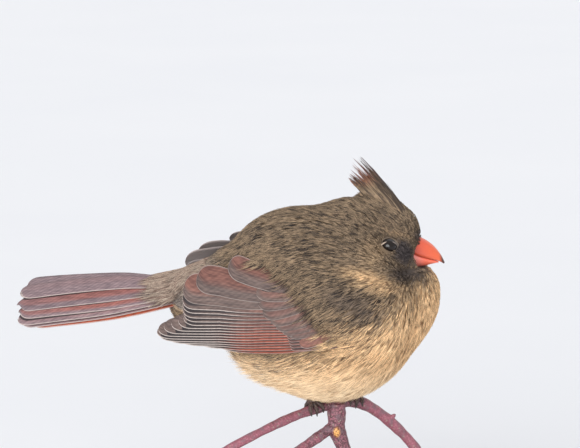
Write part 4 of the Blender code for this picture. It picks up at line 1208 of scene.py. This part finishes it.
def crest_leaves(rng, table, rows, columns):
    """Narrow leaves from rows of (front, side, start, end, width, tier).

    A feather's spine runs from root to tip in side view with a bow, at least as far out as the
    coat's own side, and its width tapers to a point. Returns points, quads and, for each place of
    the upper sheet, how far along and across it is, a chance for each leaf, and front.
    """
    front, side, start, end, width, tier = table.T
    count, s = len(table), np.linspace(0, 1, rows)[None]
    up = start[:, None] + (end - start)[:, None] * s
    root = mixed(np.array(CREST_FRONT_ROOT), np.array(CREST_REAR_ROOT), front[:, None])[:, None]
    tip = along_points(CREST_TIPS, front)[:, None]
    bow = 4 * up * (1 - up) * 0.4 * mixed(1, -0.3, np.minimum(front, 1))[:, None]
    flat = root + (tip - root) * up[..., None] + bow[..., None] * np.array([0.66, 0.75])
    drift = rng.normal(0, 0.35, (count, 1)) * s**2 * (tier > 0)[:, None]
    flat = flat + drift[..., None] * np.array([0.8, 0.6])
    spine = vec(flat[..., 0], 0, flat[..., 1])
    inside = plumage(spine) < 0
    out = np.where(inside, half_width(spine.reshape(-1, 3)).reshape(count, rows), 0)
    rise = -1.2 + (1.5 + 0.12 * tier)[:, None] * np.minimum(s * 2.5, 1)
    least = mixed(0.9, 0.25, s) * rng.uniform(0.6, 1, (count, 1))
    spine[..., 1] = side[:, None] * np.maximum(out + rise, least)
    ahead = unit(np.gradient(spine, axis=1))
    outward = vec(0.2 * (1 - front), side, 0.15)[:, None]
    aside = unit(np.cross(ahead, outward))
    normal = np.cross(aside, ahead)
    normal = normal * np.sign((normal * outward).sum(-1, keepdims=True))
    t = np.linspace(-1, 1, columns)
    half = (width[:, None] / 2) * np.interp(s, (0, 0.3, 0.55, 0.8, 1), (0.7, 1, 0.78, 0.36, 0.05))
    top = spine[:, :, None] + aside[:, :, None] * (half[..., None] * t)[..., None]
    top = top + normal[:, :, None] * (0.3 * (1 - np.abs(t)) * half[..., None])[..., None]
    shape = (count, rows, columns)
    chance = rng.random(count)[:, None, None]
    looks = up[..., None], np.abs(t), chance, front[:, None, None]
    spread_out = [np.broadcast_to(v, shape) for v in looks]
    return (*shell(top, top - normal[:, :, None] * 0.14), *spread_out)


def make_crest(finish, coat):
    """The crest's long dark spikes, and fine streaked feathers that lead up to them."""
    rng = np.random.default_rng(SEED + 7)
    spikes = [
        (spike, side, 0.1, end, 1.15, 0)
        for spike in np.linspace(0, 1, 6)
        for side, end in ((-1, 1.0), (1, 0.98), (-1, 0.9), (1, 0.88))
    ]
    p, f, along, across, chance, front = crest_leaves(rng, np.array(spikes), 13, 5)
    edge = smooth_step((across - 0.4) / 0.5)
    high = smooth_step((along - 0.3) / 0.4)
    red = np.clip(high * (0.2 + 0.8 * edge) * 1.1, 0, 1)
    dark = np.maximum(0.88 * (1 - edge) * high, 0.75 * smooth_step((0.16 - front) / 0.1))
    pale = 0.3 * high * edge * (chance > 0.4)
    values = {
        "web": twice(vec(red, pale, dark)),
        "barb": twice(vec(along * 14, across * 2, chance)),
        "edge": twice(vec(0 * along, 0, 9)),
    }
    cells = leaf_cells(len(spikes), 13, 5)
    put("crest_feathers", p, f, finish, "crest_red", ("crest",), cells, values)
    table = []
    tiers = (44, 0.0, 0.84, 1), (60, -0.1, 0.68, 2), (70, -0.2, 0.52, 3), (76, -0.3, 0.38, 4)
    for count, start, end, tier in tiers:
        for side in (-1, 1):
            first = -0.06 + 1.2 * (np.arange(count) + rng.random(count)) / count
            upto = end * rng.uniform(0.75, 1.2, count)
            table.append(vec(first, side, start, upto, rng.uniform(0.35, 0.6, count), tier))
    table = np.concatenate(table)
    p, f, along, across, chance, front = crest_leaves(rng, table, 9, 3)
    red = smooth_step((along - 0.3) / 0.4) * 0.55 * smooth_step((chance - 0.3) / 0.3)
    red = red * smooth_step(front / 0.3)
    light = 0.66 * chance - 0.3 * smooth_step((0.4 - front) / 0.4)
    values = {
        "marks": twice(vec(0.1, 0.25 * smooth_step((along - 0.4) / 0.4), red)),
        "barb": twice(vec(np.clip(light, 0, 1), 0.6, 0)),
    }
    root = p.reshape(len(table), 2, 9, 3, 3)[:, :, :1, 1:2]
    patch = vec(across - 0.5, np.linspace(-0.5, 0.5, 9)[None, :, None]) * PATCH
    uv = np.clip(unwrapped(root) * UNWRAP_FIT + patch[:, None], 0, 1).reshape(-1, 2)
    put("crest_streaks", p, f, coat, "olive_plumage", (), uv, values)


def half_width(p):
    """How far sideways the coat's surface lies from points of the middle plane."""
    return reach(p, np.broadcast_to([0, 1.0, 0], p.shape), plumage, 24)


# Eyes, bill, feet, twig


def eye_middle(side):
    """The eyeball's middle: under the coat's side by the eye's depth, as in the part's source."""
    start = np.array([[EYE_X, 0.0, EYE_Z]])
    return np.array([EYE_X, side * (half_width(start)[0] - EYE_DEPTH), EYE_Z])


def eye_axes(side):
    """The way that an eye looks, and the ways across and up it."""
    look = unit(EYE_LOOK * np.array([1, side, 1]))
    across = unit(np.cross([0, 0, 1.0], look)) * side
    return look, across, np.cross(look, across) * side


def make_eyes(ball, lids):
    """Round glossy eyeballs, and lids round them."""
    for side, word in ((1, "left"), (-1, "right")):
        middle, (look, across, up) = eye_middle(side), eye_axes(side)
        rows, columns = 22, 40
        fall = np.linspace(0, np.pi, rows + 2)[1:-1, None, None]
        turn = (2 * np.pi * np.arange(columns) / columns)[None, :, None]
        flat = np.sin(fall) * (np.cos(turn) * across + np.sin(turn) * up)
        rays = (flat + np.cos(fall + 0 * turn) * look).reshape(-1, 3)
        p = np.concatenate([rays, [look, -look]]) * EYE_RADIUS + middle
        faces = outward_faces(p, ball_faces(rows, columns), middle)
        put(f"eyeball_{word}", p, faces, ball, "eye_dark", (f"eye_{word}",))
        make_lids(side, word, middle, look, across, up, lids)


def make_lids(side, word, middle, look, across, up, finish):
    """An eye's lids: a raised ring on the eyeball that closes in from round to almond."""
    rows, columns = 12, 56
    b = np.linspace(0, 1, rows)[:, None]
    a = 2 * np.pi * np.arange(columns)[None] / columns
    radius = 3.35 * (1 + 0.04 * np.cos(2 * a) + 0.035 * np.cos(4 * a)) + 1.25 * b
    swell = 0.34 * np.sin(np.pi * np.minimum(b / 0.45, 1)) ** 0.8
    sheet = np.sqrt(np.maximum((EYE_RADIUS + 0.06) ** 2 - (radius * 0.93) ** 2, 0.2))
    height = sheet + swell - 1.3 * smooth_step((b - 0.35) / 0.65)
    x, z = radius * np.cos(a), radius * np.sin(a) * 0.82
    top = middle + x[..., None] * across + z[..., None] * up + height[..., None] * look
    p = np.concatenate([top.reshape(-1, 3), (top - 0.5 * look).reshape(-1, 3)])
    k, n, last = np.arange(columns), rows * columns, (rows - 1) * columns
    ahead, sheets = (k + 1) % columns, grid_faces(rows, columns, wrap=True)
    inner = vec(k + n, ahead + n, ahead, k)
    outer = vec(ahead + n, k + n, k, ahead) + last
    faces = np.concatenate([sheets[:, ::-1], sheets + n, inner, outer])
    back = 0.25 + 0.75 * smooth_step(0.55 + 0.9 * np.cos(a + 0.5))
    rim = smooth_step((0.42 - b) / 0.12) * smooth_step((b - 0.03) / 0.06)
    lid = np.tile(vec(rim * back, b, 0).reshape(-1, 3), (2, 1))
    faces = faces if side > 0 else faces[:, ::-1]
    put(f"eyelids_{word}", p, faces, finish, "olive_plumage", (), None, {"lid": lid})


def outward_faces(p, faces, middle):
    """Turns all the faces round if the first ones look towards middle."""
    a, b, c = (p[faces[: len(faces) // 2, k]] for k in range(3))
    facing = (np.cross(b - a, c - a) * (a - middle)).sum()
    return faces if facing > 0 else faces[:, ::-1]


def make_bill_half(name, ridge, edge, swell, finish, node):
    """A mandible: half rings along the bill, from its cutting edge up or down to its ridge."""
    rows, columns = 40, 21
    s = np.linspace(0, 1, rows)
    ridge, edge = along_points(ridge, s), along_points(edge, s)
    run = np.clip(edge[:, 0] - BILL_START, 0, BILL_RUN) / BILL_RUN
    half = BILL_HALF_WIDTH * np.sqrt(np.maximum(1 - run**1.6, 0.002))
    turn = np.linspace(0, np.pi, columns)
    lift = np.sin(turn) ** swell
    flat = edge[:, None] + (ridge - edge)[:, None] * lift[None, :, None]
    y = half[:, None] * np.cos(turn)
    p = vec(flat[..., 0], y, flat[..., 1]).reshape(-1, 3)
    p = np.concatenate([p, p[:columns].mean(0)[None], p[-columns:].mean(0)[None]])
    faces = outward_faces(p, ball_faces(rows, columns), p.mean(0))
    put(name, p, faces, finish, "bill_horn", (node,))


def foothold(side):
    """The branch's middle under a foot, its radius there, and the ways along, forwards and up."""
    name, t = FEET[side]
    points, (start, end) = BRANCHES[name]
    here, ahead = along_points(points, np.array([t, t + 0.02]))
    along = unit(ahead - here)
    forward = np.cross((0, 0, 1), along)
    forward = unit(forward * np.sign(forward[0]))
    up = np.cross(along, forward)
    return here, mixed(start, end, t), along, forward, up * np.sign(up[2])


def make_feet(skin, claw):
    """Toes that wrap round the branch in rows of raised scutes, and claws that taper to a point."""
    for side in FEET:
        middle, branch, along, forward, up = foothold(side)
        toes, claws = [], []
        for splay, start, end in TOES:
            t = np.linspace(0, 1, 60)
            turn = np.radians(mixed(start, end, t))
            tip = np.maximum(t - 0.72, 0) / 0.28
            ring = 1 + 0.07 * np.tanh(3 * np.sin(2 * np.pi * t * 12))
            pads = 1 + 0.1 * np.sin(2 * np.pi * t * 3) ** 2
            radius = TOE_RADIUS * (1 - 0.2 * t) * ring * pads
            away = branch + TOE_RADIUS * 1.05 + 0.15 + 0.25 * (1 - tip) + 0.9 * tip**2
            aside = splay * np.sin(np.pi / 2 * np.minimum(t * 1.5, 1))
            wrap = forward * np.sin(turn)[:, None] + up * np.cos(turn)[:, None]
            path = middle + along * aside[:, None] + away[:, None] * wrap
            toes.append(tube(path[:44], radius[:44], 14))
            sharp = 0.72 * np.sqrt(np.maximum(1 - np.linspace(0, 1, 19), 0.004))
            claws.append(tube(path[41:], sharp, 12, 0.7))
        sole = middle + up * (branch + 0.3 + FOOT_THICK)
        lump = np.stack([sole + up * h for h in np.linspace(-FOOT_THICK + 0.15, FOOT_THICK, 12)])
        round_off = np.sqrt(np.clip(1 - np.linspace(-0.97, 0.97, 12) ** 2, 0.02, 1))
        toes.append(tube(lump, 2.2 * round_off, 16))
        rungs = np.linspace(0, 1, 48)
        leg = vec(sole[0], sole[1], mixed(sole[2] + 1.2, middle[2] + 9.2, rungs))
        scutes = np.tanh(3 * np.sin(2 * np.pi * rungs * 5))
        toes.append(tube(leg, LEG_RADIUS * (1 + 0.06 * scutes), 18))
        put(f"toes_{side}", *joined(toes), skin, "leg_skin", (f"foot_{side}", f"leg_{side}"))
        put(f"claws_{side}", *joined(claws), claw, "leg_skin")


def make_twig(finish):
    """Round branches with swellings, remeshed into one bark where they meet."""
    parts = []
    for name, (points, (start, end)) in BRANCHES.items():
        t = np.linspace(0, 1, 60)
        path = along_points(points, t)
        wave = 0.05 * np.sin(t * 23 + len(name)) + 0.03 * np.sin(t * 61)
        parts.append(tube(path, mixed(start, end, t) * (1 + wave * smooth_step(t * 8)), 22))
    knot = np.linspace(-1, 1, 14)
    path = vec(3.1, -3.1, 61.5 + 2.8 * knot)
    parts.append(tube(path, 1.9 * np.sqrt(np.maximum(1 - knot**2, 0.01)), 16))
    bud = np.linspace(0, 1, 12)
    path = vec(28.6 + 2.2 * bud, 17.2 - 1.6 * bud, 64.0 + 2.2 * bud)
    parts.append(tube(path, 1.2 * np.sqrt(np.maximum(1 - bud**2, 0.01)), 12))
    piece = put("twig", *joined(parts), finish, "twig_bark", ("perch",))
    mesh_step = piece.modifiers.new("one_bark", "REMESH")
    mesh_step.mode, mesh_step.voxel_size, mesh_step.use_smooth_shade = "VOXEL", 0.5 * MM, True
    soften = piece.modifiers.new("soften", "SMOOTH")
    soften.factor, soften.iterations = 0.5, 5
    graph = bpy.context.evaluated_depsgraph_get()
    mesh = bpy.data.meshes.new_from_object(piece.evaluated_get(graph))
    piece.modifiers.clear()
    old, piece.data = piece.data, mesh
    bpy.data.meshes.remove(old)


def eye_finish():
    """Nearly black, faintly brown eyeball under a wet surface."""
    f = Finish("wet_eye", 0.12, coat_weight=0.15, coat_roughness=0.04, specular_ior_level=0.3)
    f.set("Base Color", (0.014, 0.01, 0.009))
    return f.material


def lid_finish():
    """Dark lid skin with a pale rim behind and below the eye."""
    f = Finish("lid_skin", 0.6)
    rim, outward, _ = f.parts("lid")
    grain = f.noise(f.place(), 1.6, 3.0)
    tint = f.mix((0.045, 0.036, 0.036), (0.2, 0.15, 0.11), outward.above(0.35, 0.7))
    tint = f.mix(tint, (0.72, 0.56, 0.44), (rim * (grain * 0.8 + 0.45)).clamped())
    f.set("Base Color", tint)
    f.bump(grain, 0.4, 0.15)
    return f.material


def bill_finish(colours, lower):
    """Coral horn, deeper at the base, with fine growth lines, a dark tip and nostrils painted as dark
    shade. The lower mandible is painted paler and brighter, as painted light on its downward side.
    """
    name = "bill_lower_horn" if lower else "bill_upper_horn"
    f = Finish(name, 0.36, specular_ior_level=0.45, coat_weight=0.25)
    where = f.place()
    x, y, z = f.split(where)
    grain = f.noise(where, 0.55, 4.0)
    deep = tuple(0.8 * c + 0.02 for c in colours.bill)
    orange = (min(colours.bill[0] * 1.05, 1), colours.bill[1] * 1.75, colours.bill[2] * 1.2)
    tint = f.mix(deep, orange, (x.above(37, 50) * 0.7 + grain * 0.5).clamped())
    # Painted light: the lower mandible is painted paler and brighter, against the shade on its
    # downward side.
    if lower:
        tint = f.mix((0.98, 0.32, 0.27), f.mix(tint, (1, 0.21, 0.13), 0.7), x.above(38, 44))
    tip = x.above(49.6, 51.6)
    tint = f.mix(tint, (0.05, 0.03, 0.025), (tip * (grain + 0.45)).clamped())
    side = y.maths("ABSOLUTE")
    # Painted shade: a near-black spot on the upper mandible stands for the shade inside each nostril.
    hole = (x - 40.2) ** 2 + ((z - 148.6) * 1.5) ** 2 + ((side - 4.2) * 0.5) ** 2
    if not lower:
        tint = f.mix(tint, (0.06, 0.015, 0.012), 1 - hole.above(0.3, 1.1))
    f.set("Base Color", tint)
    lines = (x * 1.7 + z * 0.8 + grain * 1.5).maths("SINE")
    f.bump(lines * 0.25 + grain, 0.25, 0.12)
    return f.material


def scale_finish(name, tint_dark, tint_light):
    """Horny skin: scutes paler in their middles and darker towards the creases between them."""
    f = Finish(name, 0.45, specular_ior_level=0.4)
    where = f.place()
    cells = f.cells(where, 1.3, "DISTANCE_TO_EDGE")
    grain = f.noise(where, 1.1, 3.0)
    paler_weight = (cells.above(0.0, 0.25) * (grain + 0.3)).clamped()
    f.set("Base Color", f.mix(tint_dark, tint_light, paler_weight))
    f.bump(cells.above(0.0, 0.2) + grain * 0.3, 0.5, 0.12)
    return f.material


def bark_finish(colours):
    """Smooth purplish bark, darker in broad patches and towards the fork, with fine pale flecks,
    dusty patches, pale pores and an orange scar.
    """
    f = Finish("red_bark", 0.5, specular_ior_level=0.35)
    where = f.place()
    x, y, z = f.split(where)
    broad, fine = f.noise(where, 0.12, 3.0), f.noise(where, 1.4, 4.0)
    darker = tuple(0.3 * c + 0.02 for c in colours.bark)
    paler = tuple(min(1.7 * c + 0.035, 1) for c in colours.bark)
    # Darker in broad patches and towards the fork.
    paler_weight = (broad + (x - 2).maths("ABSOLUTE") * 0.008).above(0.45, 0.75)
    tint = f.mix(darker, colours.bark, paler_weight)
    tint = f.mix(tint, paler, (fine.above(0.42, 0.7) * 0.8).clamped())
    dusty = (f.noise(where, 0.35, 2.0).above(0.5, 0.68) * 0.7).clamped()
    tint = f.mix(tint, (0.2, 0.13, 0.15), dusty)
    pores = f.cells(where, 0.42, "F1")
    pore = 1 - pores.above(0.14, 0.24)
    tint = f.mix(tint, (0.36, 0.27, 0.23), pore * 0.75)
    scar = 1 - (((x - 3.2) ** 2 + (z - 61.2) ** 2 * 0.5) ** 0.5 + fine * 1.2).above(1.5, 2.8)
    scar = scar * (1 - y.above(-3.6, -2.2))
    tint = f.mix(tint, f.mix((0.2, 0.06, 0.03), (0.95, 0.5, 0.16), fine.above(0.4, 0.55)), scar)
    f.set("Base Color", tint)
    f.bump(fine * 0.6 + pore * 0.8 + broad, 0.5, 0.35)
    return f.material


def wood_finish():
    """Dark varnished wood: stretched rings of grain under a satin coat."""
    f = Finish("stand_walnut", 0.55, coat_weight=0.08, coat_roughness=0.4, specular_ior_level=0.3)
    where = f.place()
    long = f.stretched(where, 0.012, 0.11, 0.11)
    wavy = {"Vector": long, "Scale": 1.0, "Detail": 6.0, "Distortion": 0.8}
    rings = f.add("ShaderNodeTexNoise", wavy)
    pores = f.noise(f.stretched(where, 0.08, 1.4, 1.4), 1.0, 3.0)
    tint = f.mix((0.032, 0.016, 0.009), (0.16, 0.085, 0.045), rings.above(0.32, 0.68))
    tint = f.mix(tint, (0.02, 0.01, 0.006), (pores.above(0.56, 0.7) * 0.6).clamped())
    f.set("Base Color", tint)
    f.bump(rings * 0.4 - pores * 0.3, 0.25, 0.2)
    return f.material


def brass_finish():
    """Brushed brass rod with turned marks round it."""
    f = Finish("stand_brass", 0.28, metallic=1.0)
    marks = f.noise(f.stretched(f.place(), 0.2, 0.2, 4.0), 1.0, 3.0)
    f.set("Base Color", f.mix((0.52, 0.38, 0.17), (0.72, 0.56, 0.28), marks))
    f.set("Roughness", marks * 0.25 + 0.2)
    f.bump(marks, 0.2, 0.08)
    return f.material


# Operators, one for each piece or group of like pieces


class Builder:
    """What every operator here shares."""

    bl_options = {"REGISTER", "UNDO"}

    def execute(self, context):
        self.build(context.scene.cardinal_sizes, context.scene.cardinal_colours)
        return {"FINISHED"}


class CARDINAL_OT_body_feathers(Builder, bpy.types.Operator):
    """Skin and the coat of body feathers over it"""

    bl_idname, bl_label = "cardinal.body_feathers", "Body feathers"

    def build(self, sizes, colours):
        finish = coat_finish(colours)
        make_skin(finish)
        make_coat(sizes, finish)
        make_chin(sizes, finish)


class CARDINAL_OT_wings(Builder, bpy.types.Operator):
    """Flight feathers and coverts of both folded wings"""

    bl_idname, bl_label = "cardinal.wings", "Wings"

    def build(self, sizes, colours):
        finish = vane_finish("wing_webs", colours, colours.slate)
        soft = coat_finish(colours)
        for side in (-1, 1):
            make_wing(side, sizes, finish)
            make_side_plumes(side, sizes, soft)


class CARDINAL_OT_tail(Builder, bpy.types.Operator):
    """Tail feathers and their coverts"""

    bl_idname, bl_label = "cardinal.tail", "Tail"

    def build(self, sizes, colours):
        make_tail(sizes, vane_finish("tail_webs", colours, (0.25, 0.185, 0.2)))
        make_tail_plumes(sizes, coat_finish(colours))


class CARDINAL_OT_crest(Builder, bpy.types.Operator):
    """Long feathers of the crest"""

    bl_idname, bl_label = "cardinal.crest", "Crest"

    def build(self, sizes, colours):
        spikes = vane_finish("crest_webs", colours, (0.17, 0.125, 0.09))
        make_crest(spikes, coat_finish(colours))


class CARDINAL_OT_head(Builder, bpy.types.Operator):
    """Eyes with their lids, and the two halves of the bill"""

    bl_idname, bl_label = "cardinal.head", "Eyes and bill"

    def build(self, sizes, colours):
        make_eyes(eye_finish(), lid_finish())
        halves = ("upper", CULMEN, CUTTING_EDGE, 0.9), ("lower", GONYS, LOWER_EDGE, 0.8)
        for word, *shape in halves:
            horn = bill_finish(colours, word == "lower")
            make_bill_half(f"bill_{word}", *shape, horn, f"{word}_mandible")


class CARDINAL_OT_feet(Builder, bpy.types.Operator):
    """Legs, toes and claws"""

    bl_idname, bl_label = "cardinal.feet", "Feet"

    def build(self, sizes, colours):
        skin = scale_finish("toe_scutes", (0.03, 0.02, 0.018), (0.16, 0.10, 0.085))
        make_feet(skin, scale_finish("claw_horn", (0.02, 0.015, 0.013), (0.07, 0.05, 0.045)))


class CARDINAL_OT_mount(Builder, bpy.types.Operator):
    """Twig, brass rod and wooden base"""

    bl_idname, bl_label = "cardinal.mount", "Twig and stand"

    def build(self, sizes, colours):
        make_twig(bark_finish(colours))
        for node, finish in (("stand_base", wood_finish()), ("stand_rod", brass_finish())):
            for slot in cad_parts[node].material_slots:
                slot.material = finish


class CARDINAL_OT_stage(Builder, bpy.types.Operator):
    """Pale floor, soft lights and the camera"""

    bl_idname, bl_label = "cardinal.stage", "Studio"

    def build(self, sizes, colours):
        scene = bpy.context.scene
        floor = Finish("pale_floor", 0.9)
        tone = floor.noise(floor.place(), 0.004, 2.0)
        floor.set("Base Color", floor.mix((0.84, 0.85, 0.88), (0.88, 0.885, 0.905), tone))
        corner = np.array([(-1, -1, 0), (1, -1, 0), (1, 1, 0), (-1, 1, 0)]) * FLOOR_HALF
        mesh = bpy.data.meshes.new("floor")
        mesh.from_pydata(corner.tolist(), [], [(0, 1, 2, 3)])
        mesh.materials.append(floor.material)
        piece = bpy.data.objects.new("floor", mesh)
        scene.collection.objects.link(piece)
        world = bpy.data.worlds.new("overcast")
        world.use_nodes = True
        sky = world.node_tree.nodes["Background"]
        sky.inputs["Color"].default_value = (0.965, 0.975, 1, 1)
        sky.inputs["Strength"].default_value = 0.6
        scene.world = world
        for name, way, power, spread in LAMPS:
            lamp = bpy.data.lights.new(name, "SUN")
            lamp.energy, lamp.angle = power, math.radians(spread)
            aimed(name, lamp, way)
        camera = bpy.data.cameras.new("camera")
        camera.lens = camera.sensor_width * sizes.camera_distance / sizes.view_width
        climb = math.radians(CAMERA_CLIMB_DEG)
        way = np.array([0, math.cos(climb), -math.sin(climb)])
        scene.camera = aimed("camera", camera, way, CAMERA_AIM - way * sizes.camera_distance)
        scene.view_settings.view_transform = "Standard"


def aimed(name, data, way, at=(0, 0, 0)):
    """Puts a camera or light at a place, looking along way with its top up."""
    x, y, z = unit(np.asarray(way, float))
    holder = bpy.data.objects.new(name, data)
    holder.location = at
    holder.rotation_euler = (math.acos(-z), 0, math.atan2(y, x) - math.pi / 2)
    bpy.context.scene.collection.objects.link(holder)
    return holder


STEPS = (
    CARDINAL_OT_body_feathers,
    CARDINAL_OT_wings,
    CARDINAL_OT_tail,
    CARDINAL_OT_crest,
    CARDINAL_OT_head,
    CARDINAL_OT_feet,
    CARDINAL_OT_mount,
    CARDINAL_OT_stage,
)


class CARDINAL_PT_panel(bpy.types.Panel):
    """Lists the steps, sizes and colours"""

    bl_label, bl_idname = "Northern Cardinal", "CARDINAL_PT_panel"
    bl_space_type, bl_region_type, bl_category = "VIEW_3D", "UI", "Cardinal"

    def draw(self, context):
        for step in STEPS:
            self.layout.operator(step.bl_idname)
        for group in (context.scene.cardinal_sizes, context.scene.cardinal_colours):
            for key in group.__annotations__:
                self.layout.prop(group, key)


CLASSES = (CardinalSizes, CardinalColours, *STEPS, CARDINAL_PT_panel)


def register():
    for kind in CLASSES:
        bpy.utils.register_class(kind)
    bpy.types.Scene.cardinal_sizes = bpy.props.PointerProperty(type=CardinalSizes)
    bpy.types.Scene.cardinal_colours = bpy.props.PointerProperty(type=CardinalColours)


def unregister():
    del bpy.types.Scene.cardinal_sizes, bpy.types.Scene.cardinal_colours
    for kind in reversed(CLASSES):
        bpy.utils.unregister_class(kind)


def main():
    register()
    for step in STEPS:
        group, name = step.bl_idname.split(".")
        getattr(getattr(bpy.ops, group), name)()


if __name__ == "__main__":
    main()
